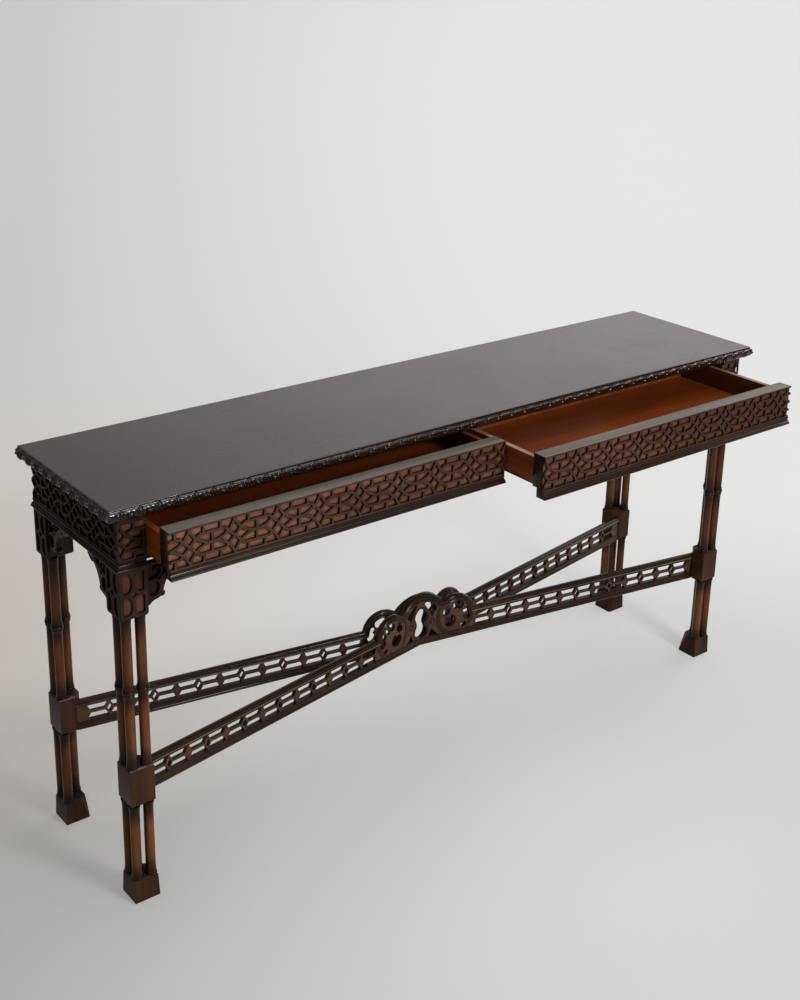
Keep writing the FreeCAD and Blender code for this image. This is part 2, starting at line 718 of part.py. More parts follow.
def make_brackets(name, side, end):
    """Brackets under the end rail and, on a front leg, beside the drawer front."""
    pieces = []
    along_end = bracket(name + "_end_bracket")
    inner_y = "%d * (frame_depth/2 - leg_size)" % end
    turn = 90 if end < 0 else -90
    outer_first = (side < 0) == (end > 0)
    edge = "frame_length/2" if side > 0 else "-frame_length/2"
    if outer_first:
        shift = "0"
    else:
        shift = "bracket_thickness"
    x = "%s %s %s" % (edge, "-" if side > 0 else "+", shift)
    pieces.append(place(along_end, x, inner_y, WAIST_BOTTOM, turn))
    if end < 0:
        along_front = bracket(name + "_front_bracket")
        inner_x = "%d * (frame_length/2 - leg_size)" % side
        if side < 0:
            place(along_front, inner_x, "-frame_depth/2", WAIST_BOTTOM + " - running_gap")
        else:
            place(along_front, inner_x, "-frame_depth/2 + bracket_thickness",
                  WAIST_BOTTOM + " - running_gap", 180)
        pieces.append(along_front)
    group(name + "_brackets", pieces)


# ---------------------------------------------------------------------------------------------------
# Stretcher
# ---------------------------------------------------------------------------------------------------
seat_x = opening_half + size("block_chamfer") / 2
seat_y = post_face_y - size("leg_size") + size("block_chamfer") / 2
arm_length = math.hypot(seat_x, seat_y)
arm_angle = math.degrees(math.atan2(seat_y, seat_x))


def arm_outline():
    """Outline of the pierced board: middle arch, wheel and plain run, from the middle of the table."""
    height, past = size("stretcher_height"), 30.0
    arch, wheel = (0, size("arch_rise")), (size("wheel_centre"), size("wheel_rise"))
    big, small = size("arch_radius"), size("wheel_radius")
    gap = math.hypot(wheel[0] - arch[0], wheel[1] - arch[1])
    along = (gap ** 2 + big ** 2 - small ** 2) / (2 * gap)
    away = math.sqrt(big ** 2 - along ** 2)
    unit = ((wheel[0] - arch[0]) / gap, (wheel[1] - arch[1]) / gap)
    valley = (arch[0] + along * unit[0] - away * unit[1], arch[1] + along * unit[1] + away * unit[0])
    shoulder = (wheel[0] + math.sqrt(small ** 2 - (height - wheel[1]) ** 2), height)
    return valley, shoulder, arch, wheel, past


def knot_cells(first, pitch):
    """Openings of one solid knot and the open knot after it."""
    low, high = size("bottom_rail"), size("stretcher_height") - size("top_rail")
    middle, half_bar = (low + high) / 2, size("mid_bar") / 2
    knot, stub = size("knot_half"), size("stub_width") / 2
    cells = []
    for start in (first, first + pitch):
        for up in (1, -1):
            edge = (high - middle) * up
            cells += loop((start + stub, middle + edge), (start + pitch - stub, middle + edge),
                          (start + pitch - knot, middle + half_bar * up),
                          (start + knot, middle + half_bar * up))
    open_knot = first + pitch
    cells += loop((open_knot - knot * 0.55, middle), (open_knot, middle + (high - middle) * 0.55),
                  (open_knot + knot * 0.55, middle), (open_knot, middle - (high - middle) * 0.55))
    return cells


def stretcher_arm(name, hand):
    """One arm along +X from the middle of the table; hand is +1 or -1 for its mirror image."""
    valley, shoulder, arch, wheel, past = arm_outline()
    height, end = size("stretcher_height"), arm_length + past
    big, small = size("arch_radius"), size("wheel_radius")
    crown_start = (-past / 3, arch[1] + math.sqrt(big ** 2 - (past / 3) ** 2))
    body = new_body(name)
    outline = loop((-past / 3, 0), (end, 0), (end, height), shoulder,
                   (arc_between(wheel, small, shoulder, valley), valley, 9),
                   (arc_between(arch, big, valley, crown_start), crown_start, 6))
    pad(body, new_sketch(body, "XZ_Plane", name + "_board", outline), "stretcher_fret", both=True)

    low, high = size("bottom_rail"), height - size("top_rail")
    foot = new_sketch(body, "XZ_Plane", name + "_foot_rail",
                      loop((-past / 3, 0), (end, 0), (end, low), (-past / 3, low)))
    pad(body, foot, "stretcher_rail", both=True)
    start = wheel[0] + math.sqrt((small - 1) ** 2 - (high - wheel[1]) ** 2)
    head = new_sketch(body, "XZ_Plane", name + "_head_rail",
                      loop((start, high), (end, high), (end, height), (start, height)))
    pad(body, head, "stretcher_rail", both=True)

    rim = size("wheel_rim")
    low_shoulder = (wheel[0] + math.sqrt(small ** 2 - (wheel[1] - low) ** 2), low)
    far_shoulder = (2 * wheel[0] - low_shoulder[0], low)
    inner = small - rim
    inner_right = (wheel[0] + math.sqrt(inner ** 2 - (wheel[1] - low) ** 2), low)
    inner_left = (2 * wheel[0] - inner_right[0], low)
    rim_curves = loop(low_shoulder, (arc_between(wheel, small, low_shoulder, shoulder), shoulder, 4),
                      (arc_between(wheel, small, shoulder, valley), valley, 9),
                      (arc_between(wheel, small, valley, far_shoulder), far_shoulder, 7), inner_left,
                      ((wheel[0], wheel[1] + inner), inner_right, 16))
    pad(body, new_sketch(body, "XZ_Plane", name + "_rim", rim_curves), "stretcher_rail", both=True)
    band = big - size("arch_rim")
    # The arch's band runs on into the wheel's rim, so that the two are one piece of wood.
    band_end = on_circle(arch, band, math.degrees(math.atan2(valley[1] - arch[1], valley[0] - arch[0])) - 5)
    band_crown = (-past / 3, arch[1] + math.sqrt(band ** 2 - (past / 3) ** 2))
    arch_curves = loop(valley, (arc_between(arch, big, valley, crown_start), crown_start, 6), band_crown,
                       (arc_between(arch, band, band_crown, band_end), band_end, 6))
    pad(body, new_sketch(body, "XZ_Plane", name + "_arch", arch_curves), "stretcher_rail", both=True)

    pitch = (arm_length - size("solid_end") - shoulder[0]) / (2 * KNOT_PAIRS + 1)
    first = shoulder[0] + pitch
    cut = pocket(body, new_sketch(body, "XZ_Plane", name + "_knots", knot_cells(first, pitch)))
    repeat(body, cut, "H_Axis", "%r * %d" % (2 * pitch, KNOT_PAIRS - 1), KNOT_PAIRS)
    doc.recompute()

    cells = hub_cells(wheel, arch, low, high, first, pitch)
    pocket(body, new_sketch(body, "XZ_Plane", name + "_hub", cells))

    spare, depth = 60.0, size("stretcher_rail")
    slope = math.tan(math.radians(arm_angle)) * hand
    middle_cut = loop((depth * slope, -depth), (-depth * slope, depth), (-spare, depth), (-spare, -depth))
    lean = math.radians(45) - math.radians(arm_angle)
    run = (math.sin(lean), math.cos(lean) * hand)
    seat_a = (arm_length - run[0] * depth * 2, -run[1] * depth * 2)
    seat_b = (arm_length + run[0] * depth * 2, run[1] * depth * 2)
    far = arm_length + spare * 2
    end_cut = loop(seat_a, seat_b, (far, seat_b[1]), (far, seat_a[1]))
    pocket(body, new_sketch(body, "XY_Plane", name + "_ends", middle_cut + end_cut))
    # The inner side is cut back to the plane that parts the front arms from the rear ones.
    lap, gap = size("wheel_centre"), size("apex_gap") / 2 / math.cos(math.radians(arm_angle))
    inner_cut = loop((-spare, (-spare * abs(slope) - gap) * hand), (lap, (lap * abs(slope) - gap) * hand),
                     (lap, spare * hand), (-spare, spare * hand))
    pocket(body, new_sketch(body, "XY_Plane", name + "_lap", inner_cut))
    return body


def hub_cells(wheel, arch, low, high, first, pitch):
    """Openings at the middle: the wheel's four foils, the linked opening, the kite and the spandrels."""
    cells = []
    for degrees in (74, 162, 234, 342):
        foil = on_circle(wheel, size("foil_distance"), degrees)
        cells += loop(*flats(size("foil_radius"), FOIL_SIDES, foil))
    half, frame = size("link_half"), size("link_frame")
    down, up = size("link_low"), size("link_high")
    waist = (down + up) / 2
    cells += loop((-half, down), ((0, down - half), (half, down), 8), (half * 0.68, waist), (half, up),
                  ((0, up + half), (-half, up), 8), (-half * 0.68, waist))
    band = size("arch_radius") - size("arch_rim")
    cells += loop(on_circle(arch, band - 9, 78), on_circle(arch, band - 3.5, 56), on_circle(arch, band - 9.5, 33),
                  on_circle(arch, band - 27, 26.5))
    cells += loop((half + 11, down - 1), (half + 5, low + 1), (half + 27, low + 1))
    middle, half_bar = (low + high) / 2, size("mid_bar") / 2
    left = wheel[0] + size("wheel_radius") + 2
    for side in (1, -1):
        edge = (high - middle) * side
        cells += loop((left + 3, middle + half_bar * side),
                      (first - size("knot_half"), middle + half_bar * side),
                      (first - size("stub_width") / 2, middle + edge),
                      (left + (0 if side > 0 else -2), middle + edge))
    return cells


def make_stretcher():
    for name, turn, hand in (("stretcher_front_right", -arm_angle, 1),
                             ("stretcher_front_left", 180 + arm_angle, -1),
                             ("stretcher_rear_right", arm_angle, -1),
                             ("stretcher_rear_left", 180 - arm_angle, 1)):
        arm = stretcher_arm(name, hand)
        keep(place(arm, "0", "0", "stretcher_bottom", turn), name)


# ---------------------------------------------------------------------------------------------------
# Build, check and write
# ---------------------------------------------------------------------------------------------------
make_top()
make_carcass()
make_end_trim()
make_drawer("left", -1, "left_opening")
make_drawer("right", 1, "right_opening")
for leg in LEGS:
    make_leg(*leg)
make_stretcher()
doc.recompute()

faults = [o.Label for o in doc.Objects if "Invalid" in o.State or "Error" in o.State]
if faults:
    raise RuntimeError("failed features: %s" % ", ".join(faults))
for node in nodes:
    if node.Shape.isNull() or not node.Shape.isValid() or not node.Shape.Solids:
        raise RuntimeError("bad shape: " + node.Label)

os.makedirs("parts", exist_ok=True)
for node in nodes:
    node.Shape.exportStep("parts/%s.step" % node.Label)
    print("%-28s %2d solids %10.0f mm3" % (node.Label, len(node.Shape.Solids), node.Shape.Volume))
print(len(nodes), "sub-parts")
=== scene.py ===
"""Pier table: fretwork, carving, turning and finishes over the fixed frame.

Metres, in the frame's own axes: +X along the front, +Y to the back, +Z up.  Sizes that a joiner would
read off a rule are written in millimetres and scaled by MM.
"""
import math

import bmesh
import bpy
from mathutils import Matrix, Vector
from mathutils.geometry import delaunay_2d_cdt


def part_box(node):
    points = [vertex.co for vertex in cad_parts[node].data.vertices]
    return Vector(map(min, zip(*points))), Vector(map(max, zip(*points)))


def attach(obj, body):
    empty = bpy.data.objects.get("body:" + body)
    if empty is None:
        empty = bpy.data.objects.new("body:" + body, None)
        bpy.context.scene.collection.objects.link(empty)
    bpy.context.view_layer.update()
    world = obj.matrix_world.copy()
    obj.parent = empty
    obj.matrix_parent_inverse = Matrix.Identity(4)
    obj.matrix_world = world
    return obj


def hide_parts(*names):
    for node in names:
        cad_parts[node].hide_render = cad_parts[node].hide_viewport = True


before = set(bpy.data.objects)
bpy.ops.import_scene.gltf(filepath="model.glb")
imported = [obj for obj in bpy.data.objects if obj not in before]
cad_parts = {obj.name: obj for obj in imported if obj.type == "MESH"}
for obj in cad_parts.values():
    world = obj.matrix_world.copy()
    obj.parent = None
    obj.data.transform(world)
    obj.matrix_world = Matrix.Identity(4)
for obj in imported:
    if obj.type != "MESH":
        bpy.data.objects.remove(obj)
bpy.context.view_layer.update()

MM = 0.001

# Places read from the frame
front_post, back_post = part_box("leg_front_left_post"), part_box("leg_back_left_post")
FRONT_Y, BACK_Y = front_post[0].y, back_post[1].y            # post faces
LEFT_X = front_post[0].x
MIDDLE_Y = (FRONT_Y + BACK_Y) / 2
LEG = front_post[1].x - front_post[0].x
CAPITAL_BOTTOM, FRIEZE_TOP = front_post[0].z, front_post[1].z
WAIST_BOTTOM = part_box("waist_moulding_left")[0].z
WAIST_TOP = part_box("waist_moulding_left")[1].z
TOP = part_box("top_board")
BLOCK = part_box("leg_front_left_block")
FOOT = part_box("leg_front_left_foot")
LEG_AXIS = Vector((LEFT_X + LEG / 2, FRONT_Y + LEG / 2))
FRET = 4.4 * MM                                              # thickness of the applied frets
FIELD_BOTTOM, FIELD_HEIGHT = WAIST_TOP + 3.7 * MM, 65 * MM   # pattern of the blind fret
REPEATS = 18                                                 # of the blind fret, along the front
PERIOD = 2 * -LEFT_X / REPEATS


# Shader maths
class Socket:
    """An output socket, on which arithmetic adds Math nodes."""

    def __init__(self, shader, link):
        self.shader, self.link = shader, link

    def _math(self, operation, *values):
        return self.shader.node("ShaderNodeMath", {"operation": operation}, dict(enumerate(values)))

    def __add__(self, other):
        return self._math("ADD", self, other)

    def __sub__(self, other):
        return self._math("SUBTRACT", self, other)

    def __mul__(self, other):
        return self._math("MULTIPLY", self, other)

    def __rsub__(self, other):
        return self._math("SUBTRACT", other, self)

    __radd__, __rmul__ = __add__, __mul__


class Finish:
    """A material and the nodes that make it up."""

    def __init__(self, name):
        self.material = bpy.data.materials.new(name)
        self.material.use_nodes = True
        self.tree = self.material.node_tree
        self.tree.nodes.clear()

    def node(self, kind, settings=None, inputs=None, output=0):
        """Add a node: its settings first, then the values or links of its sockets."""
        made = self.tree.nodes.new(kind)
        for key, value in (settings or {}).items():
            if key == "stops":
                ramp = made.color_ramp
                while len(ramp.elements) < len(value):
                    ramp.elements.new(0.5)
                for element, (place, colour) in zip(ramp.elements, value):
                    element.position = place
                    element.color = colour if len(colour) == 4 else (*colour, 1)
            else:
                setattr(made, key, value)
        for key, value in (inputs or {}).items():
            if isinstance(value, Socket):
                self.tree.links.new(value.link, made.inputs[key])
            else:
                made.inputs[key].default_value = value
        return Socket(self, made.outputs[output])

    def noise(self, where, scale, detail=3.0, roughness=0.5):
        return self.node("ShaderNodeTexNoise", None,
                         {"Vector": where, "Scale": scale, "Detail": detail, "Roughness": roughness})

    def mix(self, share, *colours):
        first, second = (c if isinstance(c, Socket) else (*c, 1) for c in colours)
        return self.node("ShaderNodeMix", {"data_type": "RGBA"}, {0: share, 6: first, 7: second}, 2)

    def scaled(self, vector, by):
        return self.node("ShaderNodeVectorMath", {"operation": "MULTIPLY"}, {0: vector, 1: by})

    def ramp(self, value, stops):
        return self.node("ShaderNodeValToRGB", {"stops": stops}, {"Fac": value})

    def part(self, vector, index):
        """One coordinate of a vector."""
        return self.node("ShaderNodeSeparateXYZ", None, {"Vector": vector}, index)

    def band(self, value, low, high, to_low=0.0, to_high=1.0):
        """A value stretched from one span to another, and held within it."""
        return self.node("ShaderNodeMapRange", None, {"Value": value, "From Min": low, "From Max": high,
                                                      "To Min": to_low, "To Max": to_high})

    def finish(self, shader):
        out = self.tree.nodes.new("ShaderNodeOutputMaterial")
        self.tree.links.new(shader.link, out.inputs["Surface"])
        return self.material


GRAIN = {"X": (1.0, 14.0, 14.0), "Y": (14.0, 1.0, 14.0), "Z": (14.0, 14.0, 1.0)}


def mahogany(name, along, tones, gloss, coat=0.2, pores=0.25, shade=0.0, bump=0.12, shine=0.4, wear=0.0,
             toned=(), shade_to_right=0.0):
    """Polished mahogany with its figure along one axis, pores, and painted shade in the hollows.

    toned gives (height, share of dark glaze) pairs, from the floor up; the last argument is how far the colour
    sinks from the left end to the right, as painted shade.
    """
    deep, middle, light = tones
    wood = Finish(name)
    place = wood.node("ShaderNodeTexCoord", None, None, 3)
    stretched = wood.scaled(place, GRAIN[along])
    cloud = wood.noise(place, 3.2, 2.0)
    bend = wood.noise(stretched, 1.3, 3.0)
    ribbon = wood.noise(stretched, 4.5, 4.0, 0.62)
    streak = wood.band(ribbon * 0.62 + bend * 0.38, 0.36, 0.66)
    colour = wood.ramp(streak * 0.75 + wood.band(cloud, 0.35, 0.65) * 0.25,
                       ((0.0, deep), (0.5, middle), (1.0, light)))
    line = tuple(8.0 * g if g > 1 else 3.0 for g in GRAIN[along])
    fine = wood.noise(wood.scaled(place, line), 6.0, 2.0)
    pore = wood.band(fine, 0.60, 0.70)
    colour = wood.mix(pore * pores, colour, tuple(0.45 * c for c in deep))
    if toned:
        stain = wood.ramp(wood.part(place, 2) + (wood.noise(place, 14.0, 2.0) - 0.5) * 0.03,
                          [(z, (dark,) * 3) for z, dark in toned])
        colour = wood.mix(stain, colour, (0.0100, 0.0062, 0.0050))
    # Painted shade: the colour darkens and reddens from the left end to the right.
    if shade_to_right:
        shaded_colour = wood.scaled(colour, (0.46, 0.30, 0.19))
        colour = wood.mix(wood.band(wood.part(place, 0), -0.75, 0.6, 0.0, shade_to_right), colour, shaded_colour)
    # Painted shade: the colour darkens in hollows found by ambient occlusion.
    if shade:
        hollow = wood.node("ShaderNodeAmbientOcclusion", {"samples": 6}, {"Distance": 7 * MM}, 1)
        colour = wood.mix(wood.band(hollow, 0.3, 0.9, shade, 0.0), colour, tuple(0.2 * c for c in deep))
    if wear:
        edge = wood.node("ShaderNodeAmbientOcclusion", {"samples": 6, "inside": True}, {"Distance": 1.6 * MM}, 1)
        rubbed = wood.band(edge, 0.55, 0.35) * wood.band(wood.noise(place, 60.0, 3.0), 0.42, 0.6)
        colour = wood.mix(rubbed * wear, colour, tuple(1.7 * c for c in light))
    smear = wood.noise(place, 9.0, 2.0)
    roughness = wood.band(smear, 0.3, 0.7, gloss - 0.04, gloss + 0.07) + pore * 0.08
    relief = wood.node("ShaderNodeBump", None, {"Strength": bump, "Distance": 0.0004, "Height": 1 - pore * 0.8})
    shader = wood.node("ShaderNodeBsdfPrincipled", None,
                       {"Base Color": colour, "Roughness": roughness, "Normal": relief, "Coat Weight": coat,
                        "Coat Roughness": 0.1, "Specular IOR Level": shine, "IOR": 1.5})
    return wood.finish(shader)


RAIL = ((0.009, 0.0048, 0.0034), (0.019, 0.0092, 0.0062), (0.036, 0.0165, 0.01))
TURNED = ((0.034, 0.0112, 0.0046), (0.1, 0.0335, 0.0115), (0.175, 0.062, 0.021))
BLOCKS = ((0.018, 0.0085, 0.005), (0.036, 0.017, 0.01), (0.056, 0.026, 0.015))
ARM = ((0.01, 0.0052, 0.003), (0.023, 0.0115, 0.0062), (0.043, 0.0205, 0.0108))
WEB = ((0.028, 0.013, 0.008), (0.06, 0.029, 0.018), (0.096, 0.048, 0.03))
# Tones of the painted highlight on the bead of the front arms.
LINE = ((0.045, 0.031, 0.014), (0.115, 0.084, 0.036), (0.19, 0.146, 0.068))
GROUND = ((0.08, 0.027, 0.013), (0.185, 0.066, 0.033), (0.27, 0.11, 0.058))
CAPITAL = ((0.032, 0.0105, 0.005), (0.08, 0.0265, 0.0115), (0.125, 0.044, 0.02))
# Darker ground tones for the ends: painted shade.
END_IN_SHADE = ((0.034, 0.013, 0.0075), (0.072, 0.026, 0.014), (0.115, 0.042, 0.023))
CARVED = ((0.005, 0.0024, 0.0017), (0.012, 0.0054, 0.0036), (0.028, 0.0105, 0.0062))
TABLE = ((0.013, 0.0052, 0.004), (0.017, 0.0066, 0.0048), (0.023, 0.0086, 0.0058))
# Grey-brown tones of the painted reflection on the top edges of the drawer fronts.
EDGE = ((0.054, 0.042, 0.035), (0.086, 0.069, 0.058), (0.12, 0.099, 0.084))
LATTICE = ((0.026, 0.016, 0.0105), (0.043, 0.0265, 0.017), (0.068, 0.04, 0.025))
LINING = ((0.08, 0.014, 0.0026), (0.17, 0.036, 0.006), (0.27, 0.072, 0.012))
FLOOR = ((0.105, 0.019, 0.0034), (0.14, 0.028, 0.0048), (0.175, 0.039, 0.0066))
SHADED = ((0.03, 0.0075, 0.0024), (0.06, 0.017, 0.005), (0.09, 0.028, 0.009))
LIGHTER_TOP = ((0.13, 0.06, 0.035), (0.22, 0.12, 0.08), (0.3, 0.18, 0.125))
PLAIN = ((0.06, 0.018, 0.006), (0.105, 0.036, 0.012), (0.16, 0.062, 0.022))
# Near-black tones of the painted shade on the walls of recesses.
RECESS_SHADE = ((0.002, 0.0014, 0.0012), (0.0048, 0.003, 0.0024), (0.009, 0.0052, 0.0038))

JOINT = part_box("leg_front_left_columns")[0].z + 390 * MM      # bamboo joint of the columns
COLUMN_TONES = (
    (FOOT[1].z, 1.0), (FOOT[1].z + 14 * MM, 0.85), (FOOT[1].z + 42 * MM, 0.12), (BLOCK[0].z - 48 * MM, 0.10),
    (BLOCK[0].z - 20 * MM, 0.85), (BLOCK[0].z, 1.0), (BLOCK[1].z, 1.0), (BLOCK[1].z + 18 * MM, 0.85),
    (BLOCK[1].z + 46 * MM, 0.15), (JOINT - 44 * MM, 0.15), (JOINT - 16 * MM, 0.85), (JOINT + 12 * MM, 0.85),
    (JOINT + 46 * MM, 0.15), (CAPITAL_BOTTOM - 62 * MM, 0.20), (CAPITAL_BOTTOM - 24 * MM, 0.8), (CAPITAL_BOTTOM, 1.0))

top_wood = mahogany("top_mahogany", "X", TABLE, 0.20, 0.5, 0.08, bump=0.01, shine=0.5)
# Painted reflection: a light grey sheen for the top edges of the drawer fronts and their frets.
edge_sheen_wood = mahogany("front_edge_painted_sheen", "X", EDGE, 0.36, 0.0, 0.3, shine=0.4)
rail_wood = mahogany("dark_mahogany_long", "X", RAIL, 0.13, 0.06, shade=0.5, shine=0.17)
rail_wood_end = mahogany("dark_mahogany_end", "Y", RAIL, 0.16, 0.0, shade=0.6, shine=0.08)
leg_wood = mahogany("dark_mahogany_upright", "Z", TURNED, 0.16, 0.0, shade=0.8, shine=0.12, toned=COLUMN_TONES)
block_wood = mahogany("block_mahogany", "Z", BLOCKS, 0.28, 0.0, shade=0.7, shine=0.06)
post_wood = mahogany("post_mahogany", "Z", RAIL, 0.24, 0.0, shade=0.6, shine=0.10)
bracket_wood = mahogany("bracket_mahogany", "Z", RAIL, 0.22, 0.0, shade=0.75, shine=0.07, wear=0.25)
carved_wood = mahogany("carved_mahogany", "X", CARVED, 0.06, 0.0, shade=0.9, shine=0.38)
arm_wood = mahogany("stretcher_mahogany", "X", ARM, 0.15, 0.03, shade=0.7, shine=0.15)
web_wood = mahogany("stretcher_web", "X", WEB, 0.32, 0.0, shade=0.6, shine=0.12, wear=0.2)
polished_wood = mahogany("polished_bead", "X", ARM, 0.09, 0.6, shade=0.4, shine=0.5)
# Painted highlight: an olive-gold line for the bead of the front arms' heads.
bead_highlight_wood = mahogany("painted_bead_highlight", "X", LINE, 0.34, 0.05, 0.6, shade=0.6, shine=0.2)
# Painted shade: a near-black finish for the sawn walls of frets and straps.
recess_shade_wood = mahogany("painted_recess_shade", "X", RECESS_SHADE, 0.40, 0.0, shine=0.15)
# The frieze fret and frieze ground carry painted shade that darkens them from left to right.
fret_wood = mahogany("fret_mahogany", "X", LATTICE, 0.34, 0.0, shade=0.5, shine=0.16, shade_to_right=0.9)
# Painted shade: the end lattice takes the darkest carved tones.
fret_wood_end_shaded = mahogany("fret_mahogany_end_painted_shade", "Y", CARVED, 0.34, 0.0, shade=0.4, shine=0.03)
capital_wood = mahogany("fret_mahogany_upright", "Z", RAIL, 0.32, 0.0, shade=0.5, shine=0.14)
capital_wood_end = mahogany("capital_mahogany_end", "Z", ARM, 0.32, 0.0, shade=0.5, shine=0.03)
ground_wood = mahogany("frieze_ground", "X", GROUND, 0.42, 0.0, shade=0.8, shine=0.12, shade_to_right=0.9)
# Painted shade: the ground of the ends is a darker copy of the frieze ground.
ground_wood_end_shaded = mahogany("frieze_ground_end_painted_shade", "Y", END_IN_SHADE, 0.42, 0.0, shade=0.2, shine=0.03)
ground_wood_up = mahogany("frieze_ground_upright", "Z", CAPITAL, 0.42, 0.0, shade=0.6, shine=0.12)
lining_wood = mahogany("drawer_lining", "Y", LINING, 0.34, 0.15, shine=0.25)
floor_of_drawer = mahogany("drawer_bottom", "X", FLOOR, 0.30, 0.15, 0.0, bump=0.0, shine=0.2)
# Painted shade for two inner faces of the drawer linings.
lining_shaded = mahogany("drawer_lining_dark", "Y", SHADED, 0.34, 0.05, shine=0.15)
# Lighter colour for the top edges of the right drawer's linings.
lining_edge = mahogany("drawer_lining_edge", "Y", LIGHTER_TOP, 0.45, 0.0, shine=0.3)
plain_wood = mahogany("secondary_wood", "X", PLAIN, 0.6, 0.0, shine=0.2)


# Making pieces
def piece(name, bm, finishes, body, nodes=(), smooth=32, turn=None, chosen=None):
    """Turn a finished bmesh into a piece that rides on a body and stands for the nodes given.

    Of several finishes, chosen(middle, normal) gives the number of each face's; without it faces keep their own.
    """
    if turn is not None:
        bmesh.ops.transform(bm, matrix=turn, verts=bm.verts)
    bmesh.ops.recalc_face_normals(bm, faces=bm.faces)
    if chosen:
        for face in bm.faces:
            face.material_index = int(chosen(face.calc_center_median(), face.normal))
    mesh = bpy.data.meshes.new(name)
    bm.to_mesh(mesh)
    bm.free()
    for finish in finishes if isinstance(finishes, tuple) else (finishes,):
        mesh.materials.append(finish)
    mesh.shade_smooth()
    mesh.set_sharp_from_angle(angle=math.radians(smooth))
    made = bpy.data.objects.new(name, mesh)
    bpy.context.scene.collection.objects.link(made)
    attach(made, body)
    if nodes:
        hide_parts(*nodes)
    return made


def strip(points, width):
    """Outline of a strip of even width along a line of points."""
    left, right = [], []
    for i, point in enumerate(points):
        before, after = points[max(i - 1, 0)], points[min(i + 1, len(points) - 1)]
        along = Vector(after) - Vector(before)
        side = Vector((-along.y, along.x)).normalized() * width / 2
        left.append(tuple(Vector(point) + side))
        right.append(tuple(Vector(point) - side))
    return left + right[::-1]


def arc(centre, radius, start, stop, count=16):
    """Points along an arc, with its angles in degrees."""
    turns = [math.radians(start + (stop - start) * i / count) for i in range(count + 1)]
    return [(centre[0] + radius * math.cos(a), centre[1] + radius * math.sin(a)) for a in turns]


def disc(centre, radius, count=32):
    return arc(centre, radius, 0, 360, count)[:-1]


def block(u0, v0, u1, v1):
    return [(u0, v0), (u1, v0), (u1, v1), (u0, v1)]


def covers(outline, u, v):
    """Whether an outline goes round a point."""
    round_it = False
    for (u0, v0), (u1, v1) in zip(outline, outline[1:] + outline[:1]):
        if (v0 > v) != (v1 > v) and u < u0 + (v - v0) * (u1 - u0) / (v1 - v0):
            round_it = not round_it
    return round_it


def sawn(solids, holes=(), within=None):
    """Flat faces, in the XY plane, that cover the solids less the holes, kept within an outline."""
    outlines = [[(p[0], p[1]) for p in outline] for outline in [*solids, *holes, *([within] if within else [])]]
    points, edges = [], []
    for outline in outlines:
        first, count = len(points), len(outline)
        points.extend(Vector(p) for p in outline)
        edges.extend((first + i, first + (i + 1) % count) for i in range(count))
    spots, _, triangles = delaunay_2d_cdt(points, edges, [], 0, 1e-7)[:3]
    spans = [(min(p[0] for p in o), max(p[0] for p in o), min(p[1] for p in o), max(p[1] for p in o)) for o in outlines]

    def within_any(some, u, v):
        return any(spans[i][0] < u < spans[i][1] and spans[i][2] < v < spans[i][3] and covers(outlines[i], u, v)
                   for i in some)
    wood = range(len(solids))
    cut = range(len(solids), len(solids) + len(holes))
    bm = bmesh.new()
    verts = [bm.verts.new((p.x, p.y, 0)) for p in spots]
    for triangle in triangles:
        u, v = sum((spots[i] for i in triangle), Vector((0, 0))) / 3
        if within_any(wood, u, v) and not within_any(cut, u, v) and (not within or covers(outlines[-1], u, v)):
            bm.faces.new([verts[i] for i in triangle])
    for vert in [v for v in bm.verts if not v.link_faces]:
        bm.verts.remove(vert)
    bmesh.ops.dissolve_limit(bm, angle_limit=0.02, verts=bm.verts, edges=bm.edges, delimit=set())
    bmesh.ops.triangulate(bm, faces=bm.faces)
    bmesh.ops.recalc_face_normals(bm, faces=bm.faces)
    if bm.faces and sum(f.normal.z for f in bm.faces) < 0:
        bmesh.ops.reverse_faces(bm, faces=bm.faces)
    return bm


def board(bm, thickness, chamfer, both=False):
    """Give sawn faces their thickness, from z = 0 up, with eased edges on one or on both sides."""
    start = thickness / 2 if both else 0
    copied = bmesh.ops.duplicate(bm, geom=list(bm.verts) + list(bm.edges) + list(bm.faces))["geom"]
    back = [g for g in copied if isinstance(g, bmesh.types.BMFace)]
    known = set(back)
    rise(bm, [f for f in bm.faces if f not in known], start, thickness, chamfer)
    bmesh.ops.reverse_faces(bm, faces=back)
    if both:
        rise(bm, back, start, 0, chamfer)
    bmesh.ops.remove_doubles(bm, verts=bm.verts, dist=1e-7)
    return bm


def rise(bm, faces, start, stop, chamfer):
    """Lift flat faces from the height start to stop, walls and eased edge included."""
    up = 1 if stop > start else -1
    for vert in {v for f in faces for v in f.verts}:
        vert.co.z = start
    # The walls are built edge by edge, in the order of the faces, so that every run gives the same mesh.
    rim = [(loop.vert, loop.link_loop_next.vert) for face in faces for loop in face.loops
           if len(loop.edge.link_faces) == 1]
    foot = dict.fromkeys(vert for pair in rim for vert in pair)
    for vert in foot:
        foot[vert] = bm.verts.new(vert.co)
    for first, second in rim:
        bm.faces.new((second, first, foot[first], foot[second]))
    bm.normal_update()
    # The foot of the wall stays where it is; the faces and their own rim go up.
    for vert in {v for f in faces for v in f.verts}:
        vert.co.z = stop - up * chamfer
    if chamfer:
        bmesh.ops.inset_region(bm, faces=faces, thickness=chamfer, depth=chamfer, use_boundary=True,
                               use_even_offset=True)


def flat_to_front(x, y, z):
    """Carry a board drawn in (along, up) to stand facing -Y, its back on the plane at y."""
    return Matrix(((1, 0, 0, x), (0, 0, -1, y), (0, 1, 0, z), (0, 0, 0, 1)))


def flat_to_left(x, y, z):
    """The same for the left end, facing -X; along runs from the back to the front."""
    return Matrix(((0, 0, -1, x), (-1, 0, 0, y), (0, 1, 0, z), (0, 0, 0, 1)))


